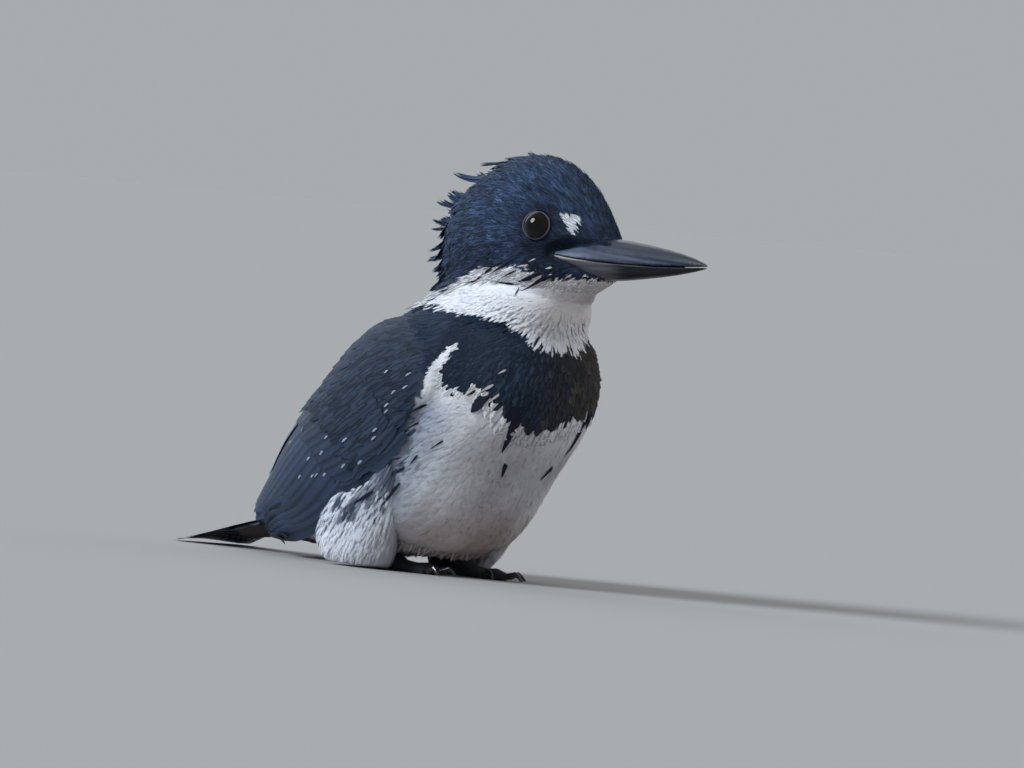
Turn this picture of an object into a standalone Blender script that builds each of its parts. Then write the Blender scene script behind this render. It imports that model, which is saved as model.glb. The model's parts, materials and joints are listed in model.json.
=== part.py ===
"""A belted kingfisher, life size, as a still museum model: it sits low on its feet with the head up,
the wings folded and the tip of the tail laid on the floor. +X is forward, +Y the bird's left, +Z up."""

import math

import bmesh
import bpy
from mathutils import Vector

MM = 0.001
CUT = 0.3         # gap left by each thin cut between two sub-parts
CENTRE_X = 1.3    # middle of the model's length, which the origin stands under
RING_POINTS = 24
STEPS = 2         # sections made from one keyed one to the next
TRUNK_STEPS = 3
BODY_FULLNESS = 2.15    # 2 is an ellipse, more is squarer
HEAD_FULLNESS = 2.1
CROWN_TAPER, THROAT_TAPER = 0.10, 0.05    # how much narrower the head is there than at the cheeks

# Trunk sections from tail coverts to collar: back point x z, front point x z, half width
TRUNK = (
    (-94.0, 13.5, -92.0, 7.5, 8.5),
    (-84.5, 21.8, -78.0, 4.5, 14.0),
    (-71.5, 32.5, -55.0, 3.2, 21.5),
    (-60.5, 44.0, -28.0, 3.0, 29.0),
    (-50.5, 55.0, 1.0, 5.6, 34.0),
    (-41.0, 65.5, 25.5, 8.5, 36.3),
    (-31.0, 75.0, 45.0, 32.0, 36.5),
    (-22.0, 83.5, 61.0, 50.0, 35.0),
    (-14.0, 89.5, 68.5, 66.0, 32.0),
    (-6.5, 94.0, 67.0, 78.5, 28.0),
)
# Neck sections above the first, which follows the trunk's last across a thin cut
NECK = (
    (-2.0, 98.0, 63.0, 86.5, 23.0),
    (2.0, 103.0, 64.0, 92.5, 19.5),
    (7.0, 108.0, 66.0, 97.0, 16.0),
)
# Upright head sections from crest to bill: x, crown z, throat z, half width
HEAD = (
    (-4.5, 125.6, 101.6, 4.0),
    (0.0, 130.6, 97.1, 8.5),
    (8.0, 136.6, 93.1, 13.0),
    (18.0, 141.9, 90.4, 16.5),
    (30.0, 145.9, 89.1, 18.8),
    (42.0, 147.9, 89.6, 19.4),
    (52.0, 146.8, 91.6, 18.6),
    (61.0, 143.4, 94.6, 16.6),
    (70.0, 137.4, 98.0, 13.6),
    (78.0, 130.1, 101.2, 10.6),
    (84.0, 123.9, 103.8, 8.2),
    (87.6, 120.2, 105.8, 6.4),
)
# Bill sections from gape to tip: x, culmen z, mouth line z, lower edge z, half width
BILL = (
    (65.0, 116.0, 113.8, 112.0, 10.6),
    (72.0, 117.9, 113.2, 109.4, 9.7),
    (80.0, 120.0, 112.8, 107.2, 8.3),
    (88.0, 120.8, 112.6, 106.8, 7.0),
    (98.0, 120.3, 112.7, 107.8, 5.6),
    (110.0, 119.4, 113.0, 109.3, 4.1),
    (121.0, 118.2, 113.5, 110.9, 2.8),
    (130.0, 116.6, 114.0, 112.6, 1.5),
    (136.2, 115.0, 114.4, 114.0, 0.45),
)
MOUTH_GAP = 0.3
BILL_POINTS = 9                          # round each half
CULMEN_RIDGE, KEEL_ROUND = 1.15, 0.9    # over 1 is a ridge, under 1 is rounder

EYE = (59.8, 12.5, 122.6)
EYE_RADIUS = 6.0
LID_GAP = 0.4    # between the eyeball and its socket
# The notch in the face feathers where the side of the bill shows, from the gape round: x, z
MOUTH_ROOM = (
    (63.6, 113.9), (66.5, 116.3), (71.0, 117.5), (80.0, 118.2), (90.0, 121.2),
    (90.0, 105.2), (80.0, 107.2), (73.5, 109.2), (67.5, 112.2),
)
MOUTH_ROOM_SIDE = 22.0

# Crest spikes: root x z, tip x z, distance of the tip from the mid-plane
CREST = (
    (26.0, 137.5, 5.0, 141.0, 1.0),
    (16.0, 133.5, -4.0, 137.0, -3.5),
    (14.0, 129.5, -11.0, 133.0, 4.0),
    (12.0, 126.5, -6.0, 129.0, -3.0),
    (12.0, 121.5, -10.0, 124.5, 1.0),
    (12.0, 117.5, -10.0, 119.0, -2.5),
    (12.0, 112.5, -13.0, 112.0, 3.0),
    (12.0, 108.5, -10.5, 105.5, -3.0),
    (12.0, 104.5, -10.0, 99.5, 0.5),
)
CREST_RADIUS = 4.6
CREST_FLATNESS = 0.55

# Folded wing: places along the trunk's sections, and edges in degrees round from the back's mid-line
WING_FROM, WING_TO = 0.55, 8.6
WING_LOW, WING_LOW_TIP = 108.0, 116.0
WING_TOP, WING_TOP_OPENS = 9.0, 20.0          # over the rump, and how much further off it is in front
WING_HEART, WING_HEART_TIP = 68.0, 104.0      # the line that both edges close on, in front and at the tip
WING_TIP_SHARE = 0.3                          # the share of the length that narrows to the tip
WING_TOP_SHARE, WING_FRONT_SHARE = 0.12, 0.16    # the same for its upper edge alone, and in front
WING_DROOP = 3.0                              # how far the tip hangs off the trunk
WING_THICK, WING_EDGE = 3.6, 1.0
WING_GAP = 0.85                               # between the faceted wing and the faceted trunk
WING_STATIONS, WING_ACROSS = 25, 9

# Tail sections: x, middle z, half width, half thickness
TAIL = (
    (-94.4, 10.5, 10.0, 2.0),
    (-103.0, 7.9, 13.0, 1.65),
    (-114.0, 4.8, 15.8, 1.25),
    (-124.0, 2.3, 17.0, 0.95),
    (-130.5, 0.75, 16.6, 0.8),
    (-133.5, 0.55, 13.0, 0.7),
)
TAIL_POINTS, TAIL_FULLNESS, TAIL_WIDEST = 20, 3.0, 17.0
TAIL_SAG, TAIL_SAG_FROM = 0.8, -97.0    # how far the outer feathers hang, behind that section

# Feet: heel x y, and the turn of the toes from straight ahead
FEET = {"right": (-12.0, -15.0, 15.0), "left": (-2.0, 8.0, 15.0)}
HEEL_Z, TOE_ROOT_Z = 9.5, 2.6
TOE_OVERLAP = 1.5    # how far a toe runs back into the foot
TARSUS = 10.5
TARSUS_RADII = (3.65, 3.25, 2.9, 2.55, 2.45)    # from the thigh to the toes
# Toes: name, angle, length from the toe root, radius, claw length
TOES = (
    ("inner", -20.0, 9.0, 1.9, 6.0),
    ("middle", -3.0, 16.5, 2.2, 7.0),
    ("outer", 13.0, 14.5, 2.0, 6.5),
    ("hind", 152.0, 7.0, 1.9, 5.0),
)
KNUCKLES = (0.95, 1.05, 0.92, 1.02, 0.72)    # a toe's girth from root to claw
TOE_SINKS = 0.35                             # how much of the soft sole the floor flattens
CLAW_SECTIONS = 6
CLAW_RADIUS, CLAW_POINT = 1.05, 0.22
CLAW_ARCH, CLAW_BEND = 1.4, 1.35             # rise of its back, and its hook in radians
CLAW_OFFSET = 0.75                           # from the toe's end to the claw's first section


def clear_scene():
    for item in list(bpy.data.objects):
        bpy.data.objects.remove(item)


def collection(name):
    made = bpy.data.collections.new(name)
    bpy.context.scene.collection.children.link(made)
    return made


def finish(name, colour, roughness):
    material = bpy.data.materials.new(name)
    material.use_nodes = True
    shader = material.node_tree.nodes["Principled BSDF"]
    shader.inputs["Base Color"].default_value = (*colour, 1.0)
    shader.inputs["Roughness"].default_value = roughness
    shader.inputs["Metallic"].default_value = 0.0
    return material


def between(rows, place):
    """A row read from keyed rows on a smooth curve, at a place counted in rows."""
    last = len(rows) - 1
    index = min(int(place), last - 1)
    part = place - index
    before, start = rows[max(index - 1, 0)], rows[index]
    end, after = rows[index + 1], rows[min(index + 2, last)]
    row = []
    for a, b, c, d in zip(before, start, end, after):
        bend = (2 * a - 5 * b + 4 * c - d) * part + (3 * b - a - 3 * c + d) * part * part
        row.append(b + 0.5 * part * (c - a + bend))
    return row


def places(rows, steps=STEPS):
    return [i / steps for i in range((len(rows) - 1) * steps + 1)]


def rounded(angle, power):
    """Cosine and sine of an angle, squared up: 2 gives an ellipse, more gives fuller corners."""
    c, s = math.cos(angle), math.sin(angle)
    return (
        math.copysign(abs(c) ** (2 / power), c),
        math.copysign(abs(s) ** (2 / power), s),
    )


def body_point(row, angle, grow=0.0):
    """A point on a trunk or neck section; angle 0 is the back's mid-line, a right angle its right side."""
    back, front = Vector((row[0], 0, row[1])), Vector((row[2], 0, row[3]))
    middle, half = (back + front) / 2, (back - front) / 2
    along, aside = rounded(angle, BODY_FULLNESS)
    reach = 1 + grow / half.length
    return middle + half * along * reach - Vector((0, (row[4] + grow) * aside, 0))


def body_ring(row, grow=0.0):
    return [body_point(row, 2 * math.pi * k / RING_POINTS, grow) for k in range(RING_POINTS)]


def head_ring(row, grow=0.0):
    """An upright head section, narrower over the crown than at the cheeks."""
    x, top, low, wide = row
    ring = []
    for k in range(RING_POINTS):
        angle = 2 * math.pi * k / RING_POINTS
        up, aside = rounded(angle, HEAD_FULLNESS)
        taper = 1 - CROWN_TAPER * max(up, 0) - THROAT_TAPER * max(-up, 0)
        z = (top + low) / 2 + up * ((top - low) / 2 + grow)
        ring.append(Vector((x, -aside * (wide + grow) * taper, z)))
    return ring


def loft(name, rings, into, material):
    """A closed solid through loops of points, capped at both ends."""
    mesh = bpy.data.meshes.new(name)
    shape = bmesh.new()
    loops = [[shape.verts.new(point * MM) for point in ring] for ring in rings]
    for first, second in zip(loops, loops[1:]):
        for k in range(len(first)):
            after = (k + 1) % len(first)
            shape.faces.new((first[k], first[after], second[after], second[k]))
    shape.faces.new(reversed(loops[0]))
    shape.faces.new(loops[-1])
    bmesh.ops.recalc_face_normals(shape, faces=shape.faces)
    if shape.calc_volume(signed=True) < 0:
        bmesh.ops.reverse_faces(shape, faces=shape.faces)
    shape.to_mesh(mesh)
    shape.free()
    made = bpy.data.objects.new(name, mesh)
    into.objects.link(made)
    if material:
        mesh.materials.append(material)
        mesh.shade_smooth()
        mesh.set_sharp_from_angle(angle=math.radians(50))
    else:
        made.hide_render = True
        made.display_type = "WIRE"
    return made


def boolean(target, other, operation):
    change = target.modifiers.new(f"{operation.lower()} {other.name}", "BOOLEAN")
    change.operation = operation
    change.object = other
    change.solver = "EXACT"


def tube(points, radii, flat=1.0, sides=10):
    """Loops of points round a path, each with its own radius; flat squeezes them sideways."""
    rings = []
    for k, (point, radius) in enumerate(zip(points, radii)):
        ahead = points[min(k + 1, len(points) - 1)] - points[max(k - 1, 0)]
        side = ahead.cross(Vector((0, 0, 1)))
        side = side.normalized() if side.length > 1e-6 else Vector((0, 1, 0))
        over = side.cross(ahead).normalized()
        turns = [2 * math.pi * s / sides for s in range(sides)]
        rings.append([point + radius * (flat * math.cos(a) * side + math.sin(a) * over) for a in turns])
    return rings


def trunk_and_neck(parts, cutters, plumage):
    rings = [body_ring(between(TRUNK, p)) for p in places(TRUNK, TRUNK_STEPS)]
    trunk = loft("trunk", rings, parts, plumage)
    slope = Vector((TRUNK[-1][2] - TRUNK[-1][0], 0, TRUNK[-1][3] - TRUNK[-1][1]))
    lift = CUT * slope.cross(Vector((0, 1, 0))).normalized()
    first = tuple(a + b for a, b in zip(TRUNK[-1], (lift.x, lift.z, lift.x, lift.z, 0.0)))
    rows = (first, *NECK)
    neck = loft("neck", [body_ring(between(rows, p)) for p in places(rows)], parts, plumage)
    head_room = loft("head room", [head_ring(between(HEAD, p), CUT) for p in places(HEAD)], cutters, None)
    boolean(neck, head_room, "DIFFERENCE")
    return trunk


def mouth_room(cutters):
    sides = (-MOUTH_ROOM_SIDE, MOUTH_ROOM_SIDE)
    rings = [[Vector((x, y, z)) for x, z in MOUTH_ROOM] for y in sides]
    return loft("mouth room", rings, cutters, None)


def bill_ring(row, upper, grow=0.0):
    """A section of one half of the bill, D-shaped, with its flat side on the mouth line."""
    x, top, mouth, low, wide = row
    points = []
    for k in range(BILL_POINTS):
        angle = math.pi * k / (BILL_POINTS - 1)
        aside, out = math.cos(angle), math.sin(angle)
        if upper:
            z = mouth + MOUTH_GAP / 2 - grow + (top - mouth + 2 * grow) * out ** CULMEN_RIDGE
        else:
            z = mouth - MOUTH_GAP / 2 + grow - (mouth - low + 2 * grow) * out ** KEEL_ROUND
        points.append(Vector((x, aside * (wide + grow), z)))
    return points


def bill(parts, cutters, horn, head):
    for name, upper in (("bill_upper", True), ("bill_lower", False)):
        rows = [between(BILL, p) for p in places(BILL)]
        loft(name, [bill_ring(row, upper) for row in rows], parts, horn)
        room = loft(f"{name} room", [bill_ring(row, upper, CUT) for row in rows], cutters, None)
        boolean(head, room, "DIFFERENCE")


def crest(cutters, head):
    """Loose crest feathers, each a flattened spike grown from the back of the head."""
    for k, (root_x, root_z, tip_x, tip_z, side) in enumerate(CREST):
        root, tip = Vector((root_x, side * 0.6, root_z)), Vector((tip_x, side, tip_z))
        points = [root.lerp(tip, s) for s in (0.0, 0.35, 0.7, 1.0)]
        radii = [CREST_RADIUS * s for s in (1.0, 0.85, 0.5, 0.13)]
        spike = loft(f"crest spike {k}", tube(points, radii, flat=CREST_FLATNESS, sides=8), cutters, None)
        boolean(head, spike, "UNION")


def ball(name, centre, radius, into, material):
    mesh = bpy.data.meshes.new(name)
    shape = bmesh.new()
    bmesh.ops.create_uvsphere(shape, u_segments=16, v_segments=10, radius=radius * MM)
    shape.to_mesh(mesh)
    shape.free()
    made = bpy.data.objects.new(name, mesh)
    made.location = Vector(centre) * MM
    into.objects.link(made)
    if material:
        mesh.materials.append(material)
        mesh.shade_smooth()
    else:
        made.hide_render = True
        made.display_type = "WIRE"
    return made


def eyes(parts, cutters, material, head):
    for name, side in (("eye_right", -1), ("eye_left", 1)):
        centre = (EYE[0], side * EYE[1], EYE[2])
        ball(name, centre, EYE_RADIUS, parts, material)
        room = ball(f"{name} room", centre, EYE_RADIUS + LID_GAP, cutters, None)
        boolean(head, room, "DIFFERENCE")


def head_and_bill(parts, cutters, plumage, horn, eye):
    head = loft("head", [head_ring(between(HEAD, p)) for p in places(HEAD)], parts, plumage)
    crest(cutters, head)
    boolean(head, mouth_room(cutters), "DIFFERENCE")
    bill(parts, cutters, horn, head)
    eyes(parts, cutters, eye, head)


def opening(part, share):
    """How far a rounded end has opened, from nearly 0 at its tip to 1 past that share of the length."""
    return min(1.0, math.sqrt(part / share + 0.01))


def wing_ring(place, side):
    """One section across a folded wing: its outer side, then back along the side against the trunk."""
    row = between(TRUNK, place)
    part = (place - WING_FROM) / (WING_TO - WING_FROM)
    tip = max(0.0, 1 - part / WING_TIP_SHARE)
    front = opening(1 - part, WING_FRONT_SHARE)
    spread = front * opening(part, WING_TIP_SHARE)
    heart = WING_HEART + (WING_HEART_TIP - WING_HEART) * tip
    upper_edge = WING_TOP + WING_TOP_OPENS * part ** 2
    lower_edge = WING_LOW + (WING_LOW_TIP - WING_LOW) * tip
    top = heart + (upper_edge - heart) * front * opening(part, WING_TOP_SHARE)
    low = heart + (lower_edge - heart) * spread
    off = Vector((0, -0.5, -1)) * WING_DROOP * tip ** 2
    lift = Vector((0, 0, WING_GAP * tip))
    outer, inner = [], []
    for k in range(WING_ACROSS):
        share = k / (WING_ACROSS - 1)
        angle = math.radians(top + (low - top) * share)
        bulge = math.sin(math.pi * share) ** 0.6
        thick = WING_EDGE + (WING_THICK - WING_EDGE) * bulge * spread
        hang = lift.lerp(off, share)
        outer.append(body_point(row, angle, WING_GAP + thick) + hang)
        inner.append(body_point(row, angle, WING_GAP) + hang)
    ring = outer + inner[::-1]
    return [Vector((p.x, -side * p.y, p.z)) for p in ring]


def wings(parts, plumage):
    for name, side in (("wing_right", -1), ("wing_left", 1)):
        step = (WING_TO - WING_FROM) / (WING_STATIONS - 1)
        rings = [wing_ring(WING_FROM + step * k, side) for k in range(WING_STATIONS)]
        loft(name, rings, parts, plumage)


def floor_room(cutters):
    """Everything below the floor, which trims the soles and the tip of the tail flat."""
    corners = ((-160, -60), (80, -60), (80, 60), (-160, 60))
    rings = [[Vector((x, y, z)) for x, y in corners] for z in (-20, 0)]
    return loft("floor room", rings, cutters, None)


def tail(parts, plumage, floor):
    rings = []
    for place in places(TAIL):
        x, z, wide, thick = between(TAIL, place)
        sag = TAIL_SAG if x < TAIL_SAG_FROM else 0.0
        ring = []
        for k in range(TAIL_POINTS):
            aside, up = rounded(2 * math.pi * k / TAIL_POINTS, TAIL_FULLNESS)
            ring.append(Vector((x, aside * wide, z + up * thick - sag * (aside * wide / TAIL_WIDEST) ** 2)))
        rings.append(ring)
    made = loft("tail", rings, parts, plumage)
    boolean(made, floor, "DIFFERENCE")


def claw_rings(root, heading, radius, length):
    """A hooked claw that rises a little from the toe and curves down to the floor."""
    points, radii = [], []
    for k in range(CLAW_SECTIONS):
        share = k / (CLAW_SECTIONS - 1)
        arch = CLAW_ARCH * math.sin(math.pi * min(share * 1.25, 1.0)) ** 2
        drop = (root.z - 2 * CLAW_POINT) * share ** 2
        points.append(root + heading * length * math.sin(share * CLAW_BEND) + Vector((0, 0, arch - drop)))
        radii.append(radius * (1 - share) ** 0.7 + CLAW_POINT)
    return tube(points, radii, flat=0.75, sides=6)


def foot(side, parts, cutters, skin, horn, trunk, floor):
    x, y, turn = FEET[side]
    ahead = Vector((math.cos(math.radians(turn)), math.sin(math.radians(turn)), 0))
    heel = Vector((x, y, HEEL_Z))
    root = heel + ahead * TARSUS
    root.z = TOE_ROOT_Z
    thigh = heel + Vector((3.0, 0, 10.0))
    ankle, instep = heel + Vector((0.6, 0, 3.0)), heel.lerp(root, 0.6)
    path = [thigh, ankle, heel + ahead * 1.2, instep, root + ahead * TOE_OVERLAP]
    leg = loft(f"leg_{side}", tube(path, TARSUS_RADII, sides=12), parts, skin)
    inward = 1 if side == "right" else -1
    for name, angle, length, radius, claw in TOES:
        # The front toes' angles count towards the other foot, and the hind one's away from it.
        bearing = math.radians(turn + inward * (angle if name == "hind" else -angle))
        heading = Vector((math.cos(bearing), math.sin(bearing), 0))
        start, whole = root - heading * TOE_OVERLAP, length + TOE_OVERLAP
        knuckles = [radius * share for share in KNUCKLES]
        stretch = [start + heading * whole * k / (len(knuckles) - 1) for k in range(len(knuckles))]
        for point, knuckle in zip(stretch, knuckles):
            point.z = knuckle - TOE_SINKS
        toe = loft(f"toe {name} {side}", tube(stretch, knuckles, sides=10), cutters, None)
        boolean(leg, toe, "UNION")
        tip = stretch[-1] + heading * CLAW_OFFSET
        tip.z = knuckles[-1] - CLAW_POINT / 2
        loft(f"claw_{name}_{side}", claw_rings(tip, heading, CLAW_RADIUS, claw), parts, horn)
    boolean(leg, floor, "DIFFERENCE")
    path[0] = thigh + Vector((0, 0, CUT))
    wider = [radius + CUT for radius in TARSUS_RADII]
    room = loft(f"leg room {side}", tube(path, wider, sides=12), cutters, None)
    boolean(trunk, room, "DIFFERENCE")


def main():
    clear_scene()
    parts, cutters = collection("belted kingfisher"), collection("cutters")
    slate = finish("slate_feathers", (0.06, 0.085, 0.13), 0.7)
    white = finish("white_feathers", (0.72, 0.73, 0.76), 0.75)
    horn = finish("bill_horn", (0.035, 0.04, 0.05), 0.35)
    claw = finish("claw_horn", (0.012, 0.012, 0.014), 0.3)
    skin = finish("foot_skin", (0.05, 0.055, 0.065), 0.55)
    eye = finish("eye_gloss", (0.012, 0.008, 0.006), 0.08)
    trunk = trunk_and_neck(parts, cutters, white)
    head_and_bill(parts, cutters, slate, horn, eye)
    wings(parts, slate)
    floor = floor_room(cutters)
    tail(parts, slate, floor)
    for side in FEET:
        foot(side, parts, cutters, skin, claw, trunk, floor)
    shift = Vector((-CENTRE_X * MM, 0, 0))
    for made in list(parts.objects) + list(cutters.objects):
        made.location += shift


main()
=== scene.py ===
import json
import math

import bmesh
import bpy
import numpy as np
from mathutils import Matrix, Vector
from mathutils.bvhtree import BVHTree

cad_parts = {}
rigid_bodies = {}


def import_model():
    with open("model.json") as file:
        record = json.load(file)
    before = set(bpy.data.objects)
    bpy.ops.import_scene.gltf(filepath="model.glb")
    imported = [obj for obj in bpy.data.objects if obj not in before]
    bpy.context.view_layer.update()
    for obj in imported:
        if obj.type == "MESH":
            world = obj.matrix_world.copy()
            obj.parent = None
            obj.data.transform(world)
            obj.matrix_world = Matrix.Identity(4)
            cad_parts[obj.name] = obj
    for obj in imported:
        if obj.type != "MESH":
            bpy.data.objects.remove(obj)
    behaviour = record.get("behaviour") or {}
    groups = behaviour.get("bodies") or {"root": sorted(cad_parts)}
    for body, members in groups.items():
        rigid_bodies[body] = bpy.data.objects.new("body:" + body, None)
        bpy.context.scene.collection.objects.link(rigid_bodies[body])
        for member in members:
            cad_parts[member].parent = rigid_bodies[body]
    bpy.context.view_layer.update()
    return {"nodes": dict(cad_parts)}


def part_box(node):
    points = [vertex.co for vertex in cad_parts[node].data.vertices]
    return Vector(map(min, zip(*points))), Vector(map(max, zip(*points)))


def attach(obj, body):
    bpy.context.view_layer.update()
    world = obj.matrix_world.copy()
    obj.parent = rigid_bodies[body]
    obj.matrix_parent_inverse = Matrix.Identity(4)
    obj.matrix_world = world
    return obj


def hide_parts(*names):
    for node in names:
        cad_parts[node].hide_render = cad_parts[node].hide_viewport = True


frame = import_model()
mm = 0.001

# ---- The camera, the floor and the studio lights
# A long lens stands level with the bird, half turned to its right side, and is tipped a little. The floor
# is a plain pale sheet. The light is soft and comes from the tail's side, from behind and faintly from ahead.
VIEW_TURN, VIEW_RISE, VIEW_ROLL = math.radians(52), math.radians(1), math.radians(5.3)
VIEW_DISTANCE, VIEW_WIDTH, SENSOR = 4.0, 353 * mm, 36.0
AIM = Vector((11.4, 18.2, 67.5)) * mm

across = Vector((math.cos(VIEW_TURN), math.sin(VIEW_TURN), 0))
sight = Vector((-across.y * math.cos(VIEW_RISE), across.x * math.cos(VIEW_RISE), -math.sin(VIEW_RISE)))
over = across.cross(sight)
lens = bpy.data.cameras.new("camera")
lens.sensor_width = SENSOR
lens.lens = SENSOR * VIEW_DISTANCE / VIEW_WIDTH
lens.clip_start, lens.clip_end = 0.05, 100
camera = bpy.data.objects.new("camera", lens)
right = across * math.cos(VIEW_ROLL) + over * math.sin(VIEW_ROLL)
upward = over * math.cos(VIEW_ROLL) - across * math.sin(VIEW_ROLL)
camera.matrix_world = Matrix.Translation(AIM - sight * VIEW_DISTANCE) @ Matrix(
    (right, upward, -sight)).transposed().to_4x4()
bpy.context.scene.collection.objects.link(camera)
bpy.context.scene.camera = camera
bpy.context.scene.view_settings.view_transform = "Standard"


class Wire:
    """One socket of a material under way. Sums written with it add Math nodes, and node() adds any other."""

    def __init__(self, tree, socket=None):
        self.tree = tree
        self.socket = socket

    def node(self, kind, settings=None, sockets=None, out=0):
        made = self.tree.nodes.new(kind)
        for name, value in (settings or {}).items():
            setattr(made, name, value)
        for name, value in (sockets or {}).items():
            if isinstance(value, Wire):
                self.tree.links.new(value.socket, made.inputs[name])
            else:
                made.inputs[name].default_value = value
        return Wire(self.tree, made.outputs[out])

    def maths(self, operation, *others):
        return self.node("ShaderNodeMath", {"operation": operation}, dict(enumerate((self, *others))))

    def __add__(self, other):
        return self.maths("ADD", other)

    __radd__ = __add__

    def __sub__(self, other):
        return self.maths("SUBTRACT", other)

    def __rsub__(self, other):
        return self.node("ShaderNodeMath", {"operation": "SUBTRACT"}, {0: other, 1: self})

    def __mul__(self, other):
        return self.maths("MULTIPLY", other)

    __rmul__ = __mul__

    def size(self):
        return self.maths("ABSOLUTE")

    def step(self, low, high):
        """0 below low, 1 above high and a soft step between; low may be the higher."""
        sockets = {"Value": self, "From Min": low, "From Max": high}
        return self.node("ShaderNodeMapRange", {"interpolation_type": "SMOOTHSTEP"}, sockets)

    def mix(self, first, second):
        """The first colour where this is 0 and the second where it is 1."""
        return self.node("ShaderNodeMix", {"data_type": "RGBA"}, {0: self, 6: first, 7: second}, 2)

    def shade(self, amount):
        """This colour times a number that varies over the surface."""
        return self.node("ShaderNodeVectorMath", {"operation": "SCALE"}, {0: self, "Scale": amount})

    def noise(self, scale, detail=2.0, **more):
        return self.node("ShaderNodeTexNoise", None, {"Scale": scale, "Detail": detail, **more})

    def tint(self):
        """The colour that the piece's own points carry."""
        return self.node("ShaderNodeAttribute", {"attribute_name": "tint"})


def new_finish(name, roughness, **constants):
    """A material, its Principled shader's inputs and a wire to start from."""
    made = bpy.data.materials.new(name)
    made.use_nodes = True
    shader = made.node_tree.nodes["Principled BSDF"]
    shader.inputs["Roughness"].default_value = roughness
    for key, value in constants.items():
        shader.inputs[key.replace("_", " ")].default_value = value
    return made, shader.inputs, Wire(made.node_tree)


def feed(wire, socket):
    wire.tree.links.new(wire.socket, socket)


def bump(wire, height, distance, inputs):
    feed(wire.node("ShaderNodeBump", None, {"Height": height, "Distance": distance}), inputs["Normal"])


FLOOR_RADIUS = 40.0
floor_finish, inputs, start = new_finish("pale floor", 0.9)
inputs["Base Color"].default_value = (0.385, 0.38, 0.374, 1)
inputs["Specular IOR Level"].default_value = 0.0
bpy.ops.mesh.primitive_circle_add(vertices=96, radius=FLOOR_RADIUS, fill_type="NGON")
floor = bpy.context.object
floor.name = "floor"
floor.data.materials.append(floor_finish)

# Studio lamps: name, the way to each (to the right, away from the camera, up), strength, softness in
# degrees and colour
LAMPS = (
    ("key", (-1.0, -0.3, 0.65), 3.1, 27, (0.84, 0.91, 1.0)),
    ("rim", (-0.5, 1.0, 0.7), 0.9, 55, (0.84, 0.92, 1.0)),
    ("side", (1.0, 0.35, 0.35), 0.5, 120, (1.0, 0.9, 0.8)),
)
for name, (aside, away, above), strength, softness, colour in LAMPS:
    glow = bpy.data.lights.new(name, "SUN")
    glow.energy, glow.angle, glow.color = strength, math.radians(softness), colour
    lamp = bpy.data.objects.new(name, glow)
    way = across * aside + sight * away + Vector((0, 0, above))
    lamp.rotation_euler = way.to_track_quat("Z", "Y").to_euler()
    bpy.context.scene.collection.objects.link(lamp)
world = bpy.data.worlds.new("studio")
world.use_nodes = True
world.node_tree.nodes["Background"].inputs["Color"].default_value = (0.39, 0.408, 0.42, 1)
bpy.context.scene.world = world

# ---- The skin
# One skin goes round trunk, neck, head and folded wings, and lies inside their outline by the coat's
# depth. It carries the plumage's markings, so that nothing else shows between the feathers.
COAT_DEPTH = 1.6 * mm
SKIN_GRAIN = 1.2 * mm
SHRINK_BAND = 4 * mm
FLESH = ("trunk", "neck", "head", "wing_right", "wing_left")
BILL = ("bill_upper", "bill_lower")
EYEBALLS = ("eye_right", "eye_left")


def low_high(node):
    low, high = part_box(node)
    return np.array(low), np.array(high)


def unit(vectors):
    return vectors / np.maximum(np.linalg.norm(vectors, axis=-1, keepdims=True), 1e-9)


def ease(low, high, value):
    """0 at low, 1 at high and a soft step between; low may be the higher."""
    share = np.clip((value - low) / (high - low), 0, 1)
    return share * share * (3 - 2 * share)


def link(name, mesh):
    made = bpy.data.objects.new(name, mesh)
    bpy.context.scene.collection.objects.link(made)
    return made


def triples(items, name, kind=np.float32):
    """Three numbers of each vertex, normal or triangle, as rows of an array."""
    values = np.empty(len(items) * 3, kind)
    items.foreach_get(name, values)
    return values.reshape(-1, 3)


def points_of(mesh):
    return triples(mesh.vertices, "co").astype(float)


def move_points(mesh, points):
    mesh.vertices.foreach_set("co", points.astype(np.float32).ravel())


def joined(name, nodes):
    shape = bmesh.new()
    for node in nodes:
        shape.from_mesh(frame["nodes"][node].data)
    mesh = bpy.data.meshes.new(name)
    shape.to_mesh(mesh)
    shape.free()
    return link(name, mesh)


def close_up(piece, grain):
    """Even faces of one closed surface."""
    close = piece.modifiers.new("close", "REMESH")
    close.mode = "VOXEL"
    close.voxel_size = grain


def soften(piece, rounds):
    """Smooth the piece and make its modifiers final."""
    smooth = piece.modifiers.new("soften", "SMOOTH")
    smooth.factor, smooth.iterations = 0.5, rounds
    evaluated = piece.evaluated_get(bpy.context.evaluated_depsgraph_get())
    mesh = bpy.data.meshes.new_from_object(evaluated)
    mesh.materials.clear()
    piece.modifiers.clear()
    piece.data = mesh


def shrink(piece, depth):
    """Move the piece's whole outline in by a depth that small spikes don't outlast."""
    group = bpy.data.node_groups.new("shrink", "GeometryNodeTree")
    for in_out in ("INPUT", "OUTPUT"):
        group.interface.new_socket("Geometry", in_out=in_out, socket_type="NodeSocketGeometry")
    fill = group.nodes.new("GeometryNodeMeshToVolume")
    fill.resolution_mode = "VOXEL_SIZE"
    fill.inputs["Voxel Size"].default_value = SKIN_GRAIN * 2 / 3
    fill.inputs["Interior Band Width"].default_value = SHRINK_BAND
    wrap = group.nodes.new("GeometryNodeVolumeToMesh")
    wrap.resolution_mode = "VOXEL_SIZE"
    wrap.inputs["Voxel Size"].default_value = SKIN_GRAIN
    wrap.inputs["Threshold"].default_value = depth / SHRINK_BAND
    way = [group.nodes.new("NodeGroupInput"), fill, wrap, group.nodes.new("NodeGroupOutput")]
    for before, after in zip(way, way[1:]):
        group.links.new(before.outputs[0], after.inputs[0])
    piece.modifiers.new("shrink", "NODES").node_group = group


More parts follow.
